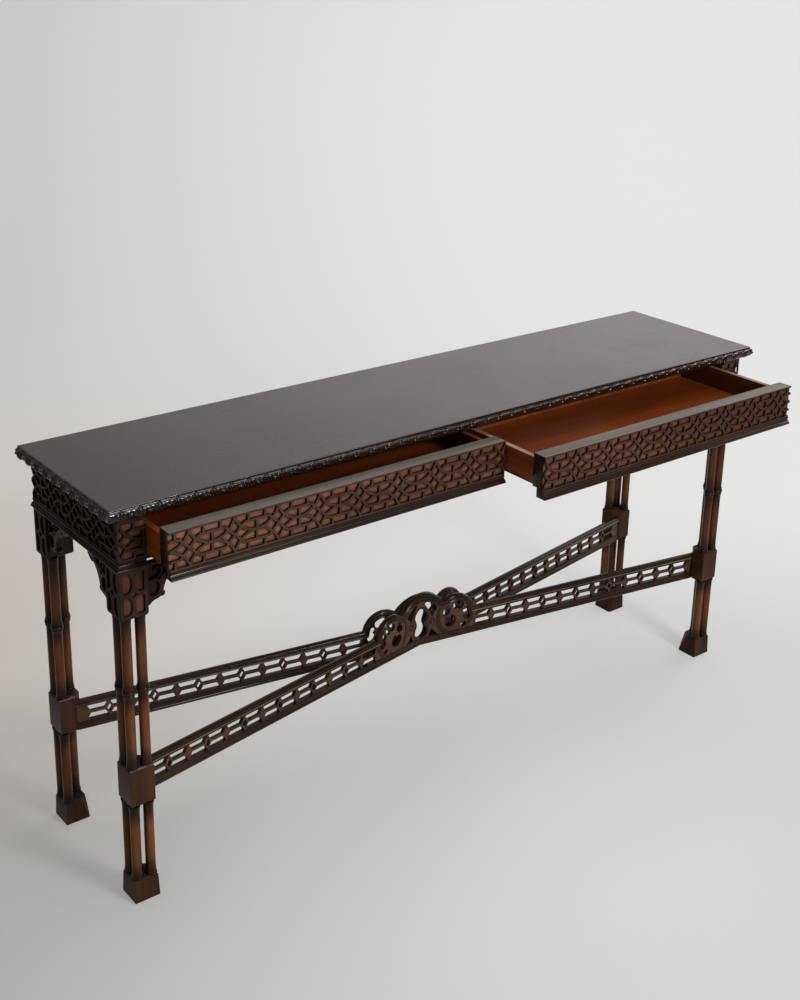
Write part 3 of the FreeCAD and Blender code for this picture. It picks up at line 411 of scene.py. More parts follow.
def flat_to_right(x, y, z):
    """The same for the right end, facing +X; along runs from the front to the back."""
    return Matrix(((0, 0, 1, x), (1, 0, 0, y), (0, 1, 0, z), (0, 0, 0, 1)))


def skin(rows, way=1):
    """A closed solid through rings of points; way is -1 for rings that run clockwise."""
    bm = bmesh.new()
    rings = [[bm.verts.new(point) for point in row] for row in rows]
    for low, high in zip(rings, rings[1:]):
        for i in range(len(low)):
            j = (i + 1) % len(low)
            bm.faces.new([low[i], low[j], high[j], high[i]])
    bm.faces.new(rings[0][::-way])
    bm.faces.new(rings[-1][::way])
    return bm


def mm(*points):
    """Points given in millimetres."""
    return [(u * MM, v * MM) for u, v in points]


def moulded(profile, start, stop, mitres=(0, 0)):
    """A moulding along X from start to stop; profile is (outward, up), outward towards -Y.

    A mitre of 1 lengthens that end by as much as the profile stands out.
    """
    return skin([[(at + way * mitre * out, -out, up) for out, up in profile]
                 for at, mitre, way in ((start, mitres[0], -1), (stop, mitres[1], 1))], -1)


def eased_board(low, high, ease, steps=2):
    """A planed board between two corners, its edges eased."""
    bm = bmesh.new()
    bmesh.ops.create_cube(bm, size=1)
    for vert in bm.verts:
        vert.co = Vector([low[i] + (vert.co[i] + 0.5) * (high[i] - low[i]) for i in range(3)])
    bmesh.ops.bevel(bm, geom=list(bm.edges), offset=ease, segments=steps, profile=0.6, affect="EDGES")
    return bm


def turned(profile, count=32):
    """A turning about Z from (radius, height) pairs."""
    return skin([[(x, y, height) for x, y in disc((0, 0), radius, count)] for radius, height in profile])


def add(target, source, matrix=None):
    """Move one bmesh's geometry into another."""
    if matrix is not None:
        bmesh.ops.transform(source, matrix=matrix, verts=source.verts)
    mesh = bpy.data.meshes.new("carrier")
    source.to_mesh(mesh)
    source.free()
    target.from_mesh(mesh)
    bpy.data.meshes.remove(mesh)


# Blind fret of the frieze
FRET_STRIP = 4.8 * MM


def blind_fret(width, height, first_node, period, ends=(0, 0)):
    """Linked arcs, saltires, rails and ties, on a plate from (0, 0) to (width, height)."""
    half = FIELD_HEIGHT / 2
    middle = FIELD_BOTTOM - WAIST_TOP + half
    radius = (period ** 2 / 4 + half ** 2) / (2 * half)
    sweep = math.degrees(math.asin(period / 2 / radius))
    rail_v = 0.29 * FIELD_HEIGHT
    rail_u = period / 2 - rail_v
    solids = [block(0, 0, width, middle - half), block(0, middle + half, width, height)]
    solids += [block(0, 0, ends[0], height)] if ends[0] else []
    solids += [block(width - ends[1], 0, width, height)] if ends[1] else []
    for k in range(-1, int(width / period) + 2):
        u = first_node + k * period
        solids.append(disc((u, middle), 4.2 * MM, 12))
        for up in (1, -1):
            bow = arc((u, middle + up * radius), radius, -up * 90 - sweep, -up * 90 + sweep, 14)
            solids.append(strip(bow, FRET_STRIP))
            v = middle + up * rail_v
            solids.append(strip([(u - rail_u, v), (u + rail_u, v)], FRET_STRIP))
            solids.append(strip([(u, middle), (u, v)], FRET_STRIP))
            for side in (-0.19, 0.19):
                solids.append(strip([(u + side * period, v), (u + side * period, middle + up * half)], FRET_STRIP))
            cross = u + period / 2
            solids.append(strip([(cross - rail_v, middle - up * rail_v), (cross + rail_v, middle + up * rail_v)],
                                FRET_STRIP))
    return board(sawn(solids, within=block(0, 0, width, height)), FRET, 0.5 * MM)


def frieze_frets():
    """The blind frets of the drawer fronts and of the two ends."""
    for side in ("left", "right"):
        low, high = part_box("drawer_%s_fret" % side)
        bm = blind_fret(high.x - low.x, high.z - low.z, (PERIOD / 2 - low.x) % PERIOD, PERIOD)
        upper = high.z - 1 * MM

        # Fret faces take the fret wood, sawn walls painted shade, and the top edge a painted reflection.
        def faced(middle, normal):
            return 0 if normal.y < -0.5 else 2 if normal.z > 0.9 and middle.z > upper else 1
        piece("blind_fret_%s_drawer" % side, bm, (fret_wood, recess_shade_wood, edge_sheen_wood), side + "_drawer",
              ["drawer_%s_fret" % side], turn=flat_to_front(low.x, high.y, low.z), chosen=faced)
        low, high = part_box("end_fret_" + side)
        depth, height = high.y - low.y, high.z - low.z
        bm = blind_fret(depth, height, depth / 8, depth / 4)
        matrix = flat_to_left(high.x, high.y, low.z) if side == "left" else flat_to_right(low.x, low.y, low.z)
        # The end frets take a darker lattice and near-black sawn walls: painted shade.
        piece("blind_fret_%s_end" % side, bm, (fret_wood_end_shaded, recess_shade_wood), "carcass",
              ["end_fret_" + side], turn=matrix, chosen=lambda middle, normal: abs(normal.x) < 0.5)


frieze_frets()


# Legs
CORNERS = {"front_left": (-1, -1), "front_right": (1, -1), "back_right": (1, 1), "back_left": (-1, 1)}


def capital_fret(width, mirrored):
    """Four D-shaped panels about a lozenge, drawn in (along, up) from the foot of the capital."""
    height = WAIST_BOTTOM - CAPITAL_BOTTOM
    middle = width / 2
    outer, inner, cut = middle - 6.6 * MM, 3.2 * MM, 8.5 * MM
    holes = []
    for low, high in ((6.5 * MM, 40 * MM), (49 * MM, 85 * MM)):
        for way in (1, -1):
            corners = [(outer, low), (outer, high)]
            corners += [(inner + cut * (1 - math.sin(math.radians(a))), (low + high) / 2
                         + (high - low) / 2 * math.cos(math.radians(a))) for a in range(0, 181, 12)]
            holes.append([(middle + way * u, v) for u, v in corners])
    holes.append([(middle + u * 6.5 * MM, 44.5 * MM + v * 5.5 * MM) for u, v in ((1, 0), (0, 1), (-1, 0), (0, -1))])
    edge = [(0, 3.5 * MM), (3.5 * MM, 0), (middle - 3 * MM, 0), (middle, 3 * MM), (middle + 3 * MM, 0), (width, 0),
            (width, height), (0, height)]
    plate = board(sawn([edge], holes), FRET, 0.5 * MM)
    if mirrored:
        flip = Matrix.Translation((width, 0, 0)) @ Matrix.Scale(-1, 4, (1, 0, 0))
        bmesh.ops.transform(plate, matrix=flip, verts=plate.verts)
    return plate


def fret_face(middle, normal):
    """Which of the fret's three finishes a face takes: on an end, on the front, or painted shade in a recess."""
    return 1 if normal.y < -0.5 else 0 if abs(normal.x) > 0.5 and abs(normal.y) < 0.5 else 2


def leg_frets():
    """Capital frets of all legs, and the frieze fret over the two front ones."""
    height = FRIEZE_TOP - WAIST_TOP
    for corner, (side, end) in CORNERS.items():
        low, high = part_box("leg_%s_post" % corner)
        bm = bmesh.new()
        to_end = flat_to_left(low.x, high.y, low.z) if side < 0 else flat_to_right(high.x, low.y, low.z)
        add(bm, capital_fret(LEG, side * end < 0), to_end)
        if end < 0:
            left = low.x - FRET if side < 0 else low.x
            add(bm, capital_fret(LEG + FRET, side < 0), flat_to_front(left, low.y, low.z))
            first = (PERIOD / 2 - left) % PERIOD
            stile = blind_fret(LEG + FRET, height, first, PERIOD, (2 * MM, 0) if side < 0 else (0, 2 * MM))
            add(bm, stile, flat_to_front(left, low.y, WAIST_TOP))
        piece("leg_frets_" + corner, bm, (capital_wood_end, capital_wood, recess_shade_wood), "carcass",
              ["leg_%s_frets" % corner], chosen=fret_face)


def colonette(bottom, top, ringed):
    """Turned colonette: a flare at each end, and a bamboo joint with a bead."""
    r = 9.5
    flare = ((11.4, 0), (11.4, 1.6), (10.6, 2.4), (10.9, 3.4), (10.5, 5.2), (10.0, 8), (9.7, 12), (r, 18))
    rows = [(a * MM, bottom + b * MM) for a, b in flare]
    if ringed:
        joint = ((r, -15), (9.7, -11), (10.3, -8), (11.2, -6.4), (11.3, -5.4), (10.3, -4.6), (10.2, -3.8),
                 (11.4, -3.0), (12.0, -1.6), (12.2, 0))
        rows += [(a * MM, JOINT + b * MM) for a, b in joint]
        rows += [(a * MM, JOINT - b * MM) for a, b in joint[-2::-1]]
    rows += [(a * MM, top - b * MM) for a, b in flare[::-1]]
    return turned(rows, 28)


def leg_block(rings, side, end):
    """A solid through square sections with the inner corner cut, given as (height, half width, cut)."""
    rows = []
    for z, half, cut in rings:
        shape = ((-half, -half), (half, -half), (half, half - cut), (half - cut, half), (-half, half))
        rows.append([(-side * u, -end * v, z) for u, v in shape])
    return skin(rows)


def legs():
    """Colonettes, stretcher block and foot of each leg."""
    block_low, block_high, foot_top = BLOCK[0].z, BLOCK[1].z, FOOT[1].z
    half, spacing = LEG / 2, 14 * MM
    eased = ((0, -3.2, 13), (0.4, -3, 13.2), (3, -0.3, 15.5), (4, 0, 16))
    block_rings = [(block_low + z * MM, half + h * MM, cut * MM) for z, h, cut in eased]
    block_rings += [(block_high - z * MM, half + h * MM, cut * MM) for z, h, cut in eased[::-1]]
    foot_rings = [(z, half + h * MM, cut * MM) for z, h, cut in (
        (0, 0.2, 2), (1.2 * MM, 1, 2.2), (5 * MM, 0.8, 3), (foot_top * 0.5, 0, 8), (foot_top - 3 * MM, -0.8, 15),
        (foot_top, -2.6, 14))]
    for corner, (side, end) in CORNERS.items():
        axis = Vector((side * abs(LEG_AXIS.x), MIDDLE_Y + end * (LEG_AXIS.y - MIDDLE_Y) * -1, 0))
        bm = bmesh.new()
        for bottom, top, ringed in ((foot_top, block_low, False), (block_high, CAPITAL_BOTTOM, True)):
            for u, v in ((1, 1), (-1, 1), (1, -1)):
                spot = axis + Vector((side * u * spacing, end * v * spacing, 0))
                add(bm, colonette(bottom, top, ringed), Matrix.Translation(spot))
        piece("colonettes_" + corner, bm, leg_wood, "carcass", ["leg_%s_columns" % corner], smooth=50)
        for name, rings, node in (("stretcher_block_", block_rings, "block"), ("foot_", foot_rings, "foot")):
            piece(name + corner, leg_block(rings, side, end), block_wood, "carcass",
                  ["leg_%s_%s" % (corner, node)], turn=Matrix.Translation(axis))


def curve(*points, steps=6):
    """A smooth line through points in millimetres, its corners rounded by the points' own tangents."""
    points = [Vector(p) for p in mm(*points)]
    line = []
    for i in range(len(points) - 1):
        p0, p1, p2, p3 = (points[max(i - 1, 0)], points[i], points[i + 1], points[min(i + 2, len(points) - 1)])
        for k in range(steps):
            t = k / steps
            line.append(0.5 * ((2 * p1) + (p2 - p0) * t + (2 * p0 - 5 * p1 + 4 * p2 - p3) * t * t
                               + (3 * p1 - p0 - 3 * p2 + p3) * t ** 3))
    return [tuple(p) for p in line + [points[-1]]]


BRACKET = 13 * MM                                            # thickness of the brackets


def bracket():
    """One pierced bracket in (along, up), against a post at 0 and hung from 0, its front face towards +z."""
    edge = curve((4.5, -80), (12, -74), (22, -71), (29, -68)) + \
        curve((32, -60), (34, -52), (38, -42), (46, -30), (56, -22)) + curve((66, -22), (74, -15), (80, -6), (88, -1))
    outline = [(0, 0), (0, -80 * MM)] + edge + [(88 * MM, 0)]
    holes = [curve((6, -62), (13, -64), (21, -60), (25, -50), (22, -41), (14, -38), (8, -42), (6, -52), (6, -61)),
             curve((6, -7), (30, -6.5), (54, -6.5), (50, -13), (42, -20), (33, -27), (27, -35), (19, -33), (10, -33),
                   (6, -34), (6, -20), (6, -8))]
    bm = board(sawn([outline], holes), BRACKET, 0.8 * MM, both=True)
    radius = 5.8 * MM
    for spot in mm((61, -20), (30, -64)):
        ball = turned([(radius * 0.55, 0), (radius * 0.9, 0.7 * MM), (radius, 2 * MM), (radius, BRACKET - 2 * MM),
                       (radius * 0.9, BRACKET - 0.7 * MM), (radius * 0.55, BRACKET)], 20)
        add(bm, ball, Matrix.Translation((*spot, 0)))
    scroll = curve((8, -37), (16, -33), (25, -30), (31, -22), (29, -14), (22, -12), (18, -17), (22, -21))
    add(bm, board(sawn([strip(scroll, 4.5 * MM)]), BRACKET - 0.6 * MM, 1.4 * MM))
    web = board(sawn([outline]), BRACKET - 7 * MM, 0)
    add(bm, web, Matrix.Translation((0, 0, 0.8 * MM)) @ Matrix.Diagonal((0.985, 0.985, 1, 1)))
    return bm


def brackets():
    """A bracket along the end at every post, and one along the front at the two front posts."""
    for corner, (side, end) in CORNERS.items():
        low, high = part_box("leg_%s_post" % corner)
        bm = bmesh.new()
        face_x, inner_x = (low.x, high.x) if side < 0 else (high.x, low.x)
        inner_y = low.y if end > 0 else high.y
        add(bm, bracket(), Matrix(((0, 0, side, face_x - side * BRACKET), (-end, 0, 0, inner_y),
                                   (0, 1, 0, WAIST_BOTTOM), (0, 0, 0, 1))))
        if end < 0:
            add(bm, bracket(), Matrix(((-side, 0, 0, inner_x), (0, 0, -1, low.y + BRACKET),
                                       (0, 1, 0, WAIST_BOTTOM - 0.8 * MM), (0, 0, 0, 1))))
        piece("brackets_" + corner, bm, bracket_wood, "carcass", ["leg_%s_brackets" % corner])
def posts():
    """Upper posts: ground colour where a fret lies on them, dark elsewhere."""
    ease = 3.5 * MM
    for corner, (side, end) in CORNERS.items():
        low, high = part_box("leg_%s_post" % corner)
        rows = []
        for z, inset in ((low.z, ease), (low.z + ease, 0), (high.z, 0)):
            x0, x1 = (low.x, high.x - inset) if side < 0 else (low.x + inset, high.x)
            y0, y1 = (low.y, high.y - inset) if end < 0 else (low.y + inset, high.y)
            rows.append([(x, y, z) for x, y in block(x0, y0, x1, y1)])
        bm = skin(rows)
        upright = [e for e in bm.edges if abs(e.verts[0].co.z - e.verts[1].co.z) > 0.01]
        bmesh.ops.bevel(bm, geom=upright, offset=0.8 * MM, segments=2, profile=0.6, affect="EDGES")

        # End faces take the ground darkened by painted shade; the front face under the fret takes the ground.
        def under_fret(middle, normal, side=side, end=end):
            return 2 if normal.x * side > 0.9 else normal.y * end > 0.9 and end < 0
        piece("post_" + corner, bm, (post_wood, ground_wood_up, ground_wood_end_shaded), "carcass",
              ["leg_%s_post" % corner], chosen=under_fret)


posts()
leg_frets()
legs()
brackets()


# Stretcher
HEIGHT, LOW, HIGH = 64 * MM, 16 * MM, 49 * MM
WHEEL, WHEEL_R = (90 * MM, 54.5 * MM), 50 * MM
ARCH, ARCH_R = (0.0, 47.5 * MM), 76.5 * MM
REACH, PAST = 0.80, -0.03                # an arm's rails run past its two ends, and are cut back
SHOULDER = WHEEL[0] + math.sqrt(WHEEL_R ** 2 - (HEIGHT - WHEEL[1]) ** 2)   # where the head meets the wheel
RAIL_FINISH, WEB_FINISH, RECESS_SHADE_FINISH, BEAD_HIGHLIGHT_FINISH = range(4)


def swept(path, profile, line=()):
    """A band along a path in the XY plane; the profile is (inward from the path, across it).

    line numbers the profile's sides that take the painted highlight on the first, straight run.
    """
    rows, count = [], len(path)
    for i, point in enumerate(path):
        before = Vector(path[max(i - 1, 0)])
        after = Vector(path[min(i + 1, count - 1)])
        here = Vector(point)
        first = (here - before).normalized() if (here - before).length > 1e-9 else (after - here).normalized()
        second = (after - here).normalized() if (after - here).length > 1e-9 else first
        side = Vector((-first.y, first.x)) + Vector((-second.y, second.x))
        side.normalize()
        stretch = 1 / max(0.35, side.dot(Vector((-first.y, first.x))))
        rows.append([(here.x + side.x * n * stretch, here.y + side.y * n * stretch, w) for n, w in profile])
    bm = skin(rows, -1)
    bm.faces.ensure_lookup_table()
    for i in line:
        bm.faces[i].material_index = BEAD_HIGHLIGHT_FINISH
    return bm


def tint(bm, face_finish, wall_finish):
    """Give a board lying in the XY plane one finish on its faces and another on its sawn walls."""
    bm.normal_update()
    for face in bm.faces:
        face.material_index = face_finish if abs(face.normal.z) > 0.5 else wall_finish
    return bm


def both_sides(half):
    """A whole profile from its half, given as (inward, across) with across growing."""
    return [(n, w) for n, w in half] + [(n, -w) for n, w in half[::-1] if w > 1e-9]


def arm_bands():
    """Path and section of the moulded head, which climbs over wheel and arch, and section of the foot rail."""
    gap = math.hypot(WHEEL[0] - ARCH[0], WHEEL[1] - ARCH[1])
    along = (gap ** 2 + ARCH_R ** 2 - WHEEL_R ** 2) / (2 * gap)
    away = math.sqrt(ARCH_R ** 2 - along ** 2)
    unit = ((WHEEL[0] - ARCH[0]) / gap, (WHEEL[1] - ARCH[1]) / gap)
    valley = (ARCH[0] + along * unit[0] - away * unit[1], ARCH[1] + along * unit[1] + away * unit[0])
    a0 = math.degrees(math.atan2(HEIGHT - WHEEL[1], SHOULDER - WHEEL[0]))
    a1 = math.degrees(math.atan2(valley[1] - WHEEL[1], valley[0] - WHEEL[0]))
    b0 = math.degrees(math.atan2(valley[1] - ARCH[1], valley[0] - ARCH[0]))
    head_path = [(REACH, HEIGHT)] + arc(WHEEL, WHEEL_R, a0, a1, 30) + arc(ARCH, ARCH_R, b0, 100, 22)[1:]
    head = both_sides(mm(
        (15.4, 0), (15.4, 5.2), (14.2, 6.0), (13.2, 6.2), (12.4, 5.6), (11.8, 5.4), (11.2, 6.6), (10.2, 7.7),
        (9.0, 7.95), (7.8, 7.6), (7.0, 6.4), (6.4, 6.0), (5.6, 6.8), (4.4, 7.3), (3.2, 7.1), (2.0, 6.2), (1.0, 4.8),
        (0.3, 3.0), (0, 1.2), (0, 0)))
    foot = both_sides(mm(
        (0, 0), (0, 6.6), (0.9, 7.5), (2.4, 8.0), (4.4, 8.0), (5.9, 7.4), (6.6, 6.2), (7.6, 6.0), (8.6, 6.6),
        (11.5, 6.9), (13.4, 6.4), (14.6, 5.6), (15.2, 5.6), (16.4, 5.0), (16.4, 0)))
    return head_path, head, foot


def foil(centre, radius, nub, stretch=1.0, lean=0.0):
    """A pierced foil with a small round cusp that stands into it from the side nub (degrees)."""
    points = []
    for i in range(28):
        a = 2 * math.pi * i / 28
        off = math.atan2(math.sin(a - math.radians(nub)), math.cos(a - math.radians(nub)))
        r = radius * (1 - 0.55 * math.exp(-(off / 0.28) ** 2))
        u, v = r * math.cos(a), r * math.sin(a) * stretch
        c, s = math.cos(math.radians(lean)), math.sin(math.radians(lean))
        points.append((centre[0] + u * c - v * s, centre[1] + u * s + v * c))
    return points


def arm_holes(length):
    """Openings of one arm's pierced board: thirteen bays, the wheel, and the gaps beside the middle."""
    m, middle, bays = MM, (LOW + HIGH) / 2, 13
    holes = []
    pitch = (length - 16 * m - SHOULDER) / bays
    bar, stub, knot, splay = 2.4 * m, 2.6 * m, 9 * m, 3.5 * m
    first = SHOULDER + pitch
    for k in range(1, bays):
        u = SHOULDER + k * pitch
        for up in (1, -1):
            edge = middle + up * (HIGH - middle)
            holes.append([(u + stub, edge), (u + pitch - stub, edge), (u + pitch - stub, edge - up * splay),
                          (u + pitch - knot, middle + up * bar), (u + knot, middle + up * bar),
                          (u + stub, edge - up * splay)])
        if k % 2 == 0:
            holes.append([(u + 5.2 * m, middle), (u, middle + 8.6 * m), (u - 5.2 * m, middle), (u, middle - 8.6 * m)])
    for up in (1, -1):
        edge = middle + up * (HIGH - middle)
        holes.append([(SHOULDER + 6 * m, middle + up * bar), (first - knot, middle + up * bar),
                      (first - stub, edge - up * splay), (first - stub, edge), (SHOULDER + 3 * m, edge)])
    for at, radius, nub, stretch, lean in (((-13, -13), 15.0, 100, 1.0, 0), ((29, -2), 10.8, 170, 1.6, 8),
                                           ((8, 22), 13.6, 250, 1.0, 0), ((-21.5, 14), 8.6, 60, 1.5, -20),
                                           ((21, -28), 7.6, 120, 0.8, -25)):
        holes.append(foil((WHEEL[0] + at[0] * m, WHEEL[1] + at[1] * m), radius * m, nub, stretch, lean))
    holes.append(arc(WHEEL, 45 * m, 158, 207, 8) + arc(WHEEL, 40.5 * m, 207, 158, 8))
    # The kite between the arch, the wheel and the middle opening.
    holes.append(curve((11, 98), (17, 101.5), (25, 100.5), (32.5, 96), (39, 89), (43, 79), steps=3)
                 + curve((42, 76), (35, 72), (31, 63), (27, 71), (22, 81), (15.5, 91), steps=3))
    holes.append(mm((29.5, 35), (26, 27), (22.5, 16), (46, 16), (36, 25)))
    return holes


def peanut(grow=0.0):
    """The tall linked opening on the middle line, between its two lobes."""
    upper = arc((0, 69.5 * MM), 18.5 * MM + grow, 0, 180, 16)
    lower = arc((0, 35 * MM), 18.8 * MM + grow, 180, 360, 16)
    pinch = 12.6 * MM + grow
    waist = ((2.6, 60.5), (0.4, 55.5), (0, 52), (0.4, 48.5), (2.6, 44))
    return upper + [(-pinch - a * MM, b * MM) for a, b in waist] + lower + \
        [(pinch + a * MM, b * MM) for a, b in waist[::-1]]


def stretcher_arm(name, side, end):
    """One arm from the crossing to a leg, cut back to the two planes in which the four arms meet."""
    seat = Vector((side * (abs(LEFT_X) - LEG + 8 * MM), end * ((BACK_Y - FRONT_Y) / 2 - LEG + 8 * MM), 0))
    along = seat.normalized()
    length = seat.length
    head_path, head, foot = arm_bands()
    inset, deep = 3 * MM, 9 * MM
    outline = [(REACH, HEIGHT - inset)] + arc(WHEEL, WHEEL_R - inset, 8, 128, 30) + \
        arc(ARCH, ARCH_R - inset, 52, 100, 22) + [(PAST, inset), (REACH, inset)]
    # Boards: the web, then straps that stand a little proud of it: the wheel's ring, the frame of the middle
    # opening, the ties that run to the knot and the inner bead of the arch.
    under = block(-0.1, -0.1, 0.3, LOW - 2 * MM)
    knot = (30.5 * MM, 52 * MM)
    wheel = disc(WHEEL, WHEEL_R - 1 * MM, 56)
    ties = [strip(curve(*line, steps=3), 5.5 * MM) for line in (
        ((20, 62), (25, 56), (30.5, 52), (37, 54)), ((20, 42), (25, 48), (30.5, 52)), ((30.5, 52), (34, 44), (38, 38)))]
    # The sawn walls of the straps take the painted recess shade.
    boards = (([outline], arm_holes(length) + [peanut()], deep, 0.7, WEB_FINISH, RAIL_FINISH),
              ([wheel], [disc(WHEEL, 40.5 * MM, 56), under], deep + 2.4 * MM, 0.9, RAIL_FINISH, RECESS_SHADE_FINISH),
              ([peanut(5.2 * MM)], [peanut(), under], deep + 2.9 * MM, 0.9, RAIL_FINISH, RECESS_SHADE_FINISH),
              (ties + [disc(knot, 6.2 * MM, 20)], [peanut()], deep + 3.4 * MM, 0.9, WEB_FINISH, RECESS_SHADE_FINISH),
              ([arc(ARCH, 62 * MM, 20, 100, 24) + arc(ARCH, 57.5 * MM, 100, 20, 24)], [wheel], deep + 3.9 * MM, 0.9,
               RAIL_FINISH, RECESS_SHADE_FINISH))
    bm = bmesh.new()
    for k, (solids, cuts, thick, ease, face, wall) in enumerate(boards):
        flat = tint(board(sawn(solids, cuts), thick, ease * MM, both=True), face, wall)
        bmesh.ops.translate(flat, vec=(0, 0, -thick / 2), verts=flat.verts)
        add(bm, flat)
        if k == 0:
            # The bead of the head carries a painted gold highlight on the two arms at the front and is polished on the
            # others.
            bead = [i for i in range(len(head) - 1) if all(7 * MM < head[n][0] < 11.5 * MM for n in (i, i + 1))]
            add(bm, swept(head_path, head, bead))
            add(bm, swept([(PAST, 0), (REACH, 0)], foot))
    for way in (1, -1):
        ball = turned(mm((6.4, 4.0), (6.4, 6.2), (5.6, 7.2), (4.2, 7.6), (3.0, 7.0), (1.6, 6.0)), 20)
        add(bm, ball, Matrix.Translation((knot[0], knot[1], 0)) @ Matrix.Scale(way, 4, (0, 0, 1)))
    z0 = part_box(name)[0].z
    across = Vector((along.y, -along.x, 0))
    matrix = Matrix(((along.x, 0, across.x, 0), (along.y, 0, across.y, MIDDLE_Y), (0, 1, 0, z0), (0, 0, 0, 1)))
    bmesh.ops.transform(bm, matrix=matrix, verts=bm.verts)
    for at, normal in ((Vector((0, 0, 0)), Vector((-side, 0, 0))),
                       (Vector((0, MIDDLE_Y + end * 0.15 * MM, 0)), Vector((0, -end, 0))),
                       (seat + Vector((0, MIDDLE_Y, 0)), Vector((side, end, 0)).normalized())):
        cut = bmesh.ops.bisect_plane(bm, geom=list(bm.verts) + list(bm.edges) + list(bm.faces), plane_co=at,
                                     plane_no=normal, clear_outer=True, dist=1e-7)
        edges = [g for g in cut["geom_cut"] if isinstance(g, bmesh.types.BMEdge)]
        bmesh.ops.holes_fill(bm, edges=edges, sides=0)
    # The bead of the front arms takes the painted highlight.
    finishes = arm_wood, web_wood, recess_shade_wood, bead_highlight_wood if end < 0 else polished_wood
    piece("pierced_" + name, bm, finishes, "carcass", [name], smooth=38)


for side_name, side in (("left", -1), ("right", 1)):
    for end_name, end in (("front", -1), ("rear", 1)):
        stretcher_arm("stretcher_%s_%s" % (end_name, side_name), side, end)


# Drawer fronts and mouldings
def drawer_fronts():
    for side in ("left", "right"):
        low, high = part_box("drawer_%s_front" % side)
        # Over the bottom rail the front is thicker, into the drawer.
        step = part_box("front_bottom_rail")[1].z + 1.5 * MM
        bm = eased_board(low, (high.x, high.y, step), 0.6 * MM)
        add(bm, eased_board((low.x, low.y, step), (high.x, high.y + 12 * MM, high.z), 0.6 * MM))

        # The front takes the ground above the waist, and its top edge a painted reflection.
        def faced(middle, normal):
            if normal.y < -0.9 and middle.z > WAIST_TOP:
                return 1
            return 2 if normal.z > 0.9 and middle.z > step + FRET else 0
        piece("drawer_face_" + side, bm, (rail_wood, ground_wood, edge_sheen_wood), side + "_drawer",
              ["drawer_%s_front" % side], chosen=faced)
        # The outer face of each end board takes the ground darkened by painted shade.
        low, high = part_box("end_rail_" + side)
        bm = eased_board(low, high, 0.5 * MM)
        outward = -1 if side == "left" else 1
        piece("end_board_" + side, bm, (rail_wood_end, ground_wood_end_shaded), "carcass",
              ["end_rail_" + side], chosen=lambda middle, normal, way=outward: normal.x * way > 0.9)


def waist_section():
    """Waist moulding as (outward, up): a bead at the foot, a cove, and a fillet under the fret."""
    return mm((0, 0), (8.0, 0)) + arc((8.0 * MM, 1.9 * MM), 1.9 * MM, -90, 90, 8) + \
        mm((7.4, 3.8), (7.4, 4.8), (8.2, 5.0), (8.2, 6.0)) + arc((8.4 * MM, 11.4 * MM), 5.0 * MM, 250, 190, 8) + \
        mm((4.0, 12.4), (5.6, 12.8), (5.6, 14.0), (4.4, 14.3), (4.4, 15.5), (0, 15.5))


def waist_mouldings():
    """Waist mouldings of the drawers, and of each end with its return on the front post."""
    section = waist_section()
    for side, outward in (("left", -1), ("right", 1)):
        low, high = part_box("drawer_%s_moulding" % side)
        piece("waist_%s_drawer" % side, moulded(section, low.x, high.x), rail_wood, side + "_drawer",
              ["drawer_%s_moulding" % side], smooth=40,
              turn=Matrix.Translation((0, high.y, low.z)))
        bm = bmesh.new()
        x = outward * abs(LEFT_X)
        start, stop = sorted((x, x - outward * LEG))
        front, end = ((1, 0), (0, 1)) if outward < 0 else ((0, 1), (1, 0))
        add(bm, moulded(section, start, stop, front), Matrix.Translation((0, FRONT_Y, WAIST_BOTTOM)))
        add(bm, moulded(section, 0, BACK_Y - FRONT_Y, end),
            Matrix.Translation((x, BACK_Y if outward < 0 else FRONT_Y, WAIST_BOTTOM))
            @ Matrix.Rotation(math.radians(90 * outward), 4, "Z"))
        piece("waist_%s_end" % side, bm, rail_wood_end, "carcass", ["waist_moulding_" + side],
              smooth=40)


LEAF = 35 * MM


def carved_nosing(length, mitres):
    """The carved nosing: ribbed leaves with a bead between each pair, on a torus under a fillet.

    Along X from 0 to length, outward to -Y, up from the underside of the top.
    """
    m, torus, reach = MM, 22, 13 * MM
    base = mm((0, 0), (3.6, 0), (4.2, 0.8))
    bulge = []
    for i in range(torus + 1):
        a = math.radians(-74 + 152 * i / torus)
        bulge.append(((5.3 + 3.9 * math.cos(a)) * m, (9.8 + 8.3 * math.sin(a)) * m, i / torus,
                      math.cos(a), math.sin(a)))
    cap = mm((3.6, 18.2), (3.4, 18.8), (3.8, 19.4), (3.9, 21.6), (3.6, 21.95), (0, 21.95))
    repeats = round(length / LEAF)
    step = length / repeats
    columns = repeats * 32

    def ball(q, up, height, radius, proud):
        return max(0.0, 1 - (q * q + (up - height * m) ** 2) / (radius * m) ** 2) ** 0.5 * proud * m
    rows = []
    for c in range(columns + 1):
        u = length * c / columns
        p = (u / step) % 1.0 - 0.5
        q = min(abs(p - 0.5), abs(p + 0.5)) * step
        row = list(base)
        for out, up, t, across, rising in bulge:
            v = (t - 0.5) * 2
            half = 0.34 * math.sqrt(max(0.0, 1 - v * v * 0.92))
            inside = max(0.0, 1 - (abs(p) / max(half, 1e-6)) ** 3) if abs(p) < half else 0.0
            ribs = math.cos(2 * math.pi * (p * 6.0 * (1 + 0.2 * v) + 0.7 * v))
            vein = math.exp(-((v + 0.05) / 0.12) ** 2)
            leaf = inside * (2.5 + 1.1 * ribs - 0.8 * vein) * m
            lift = max(leaf, ball(q, up, 8.0, 2.4, 1.9), ball(q, up, 15.0, 1.6, 1.2)) - 1.3 * m
            row.append((out + across * lift, up + rising * lift * 0.6))
        start = max(0.0, 1 - u / reach) if mitres[0] else 0.0
        stop = max(0.0, 1 - (length - u) / reach) if mitres[1] else 0.0
        rows.append([(u - start * out + stop * out, -out, up) for out, up in row + cap])
    return skin(rows, -1)


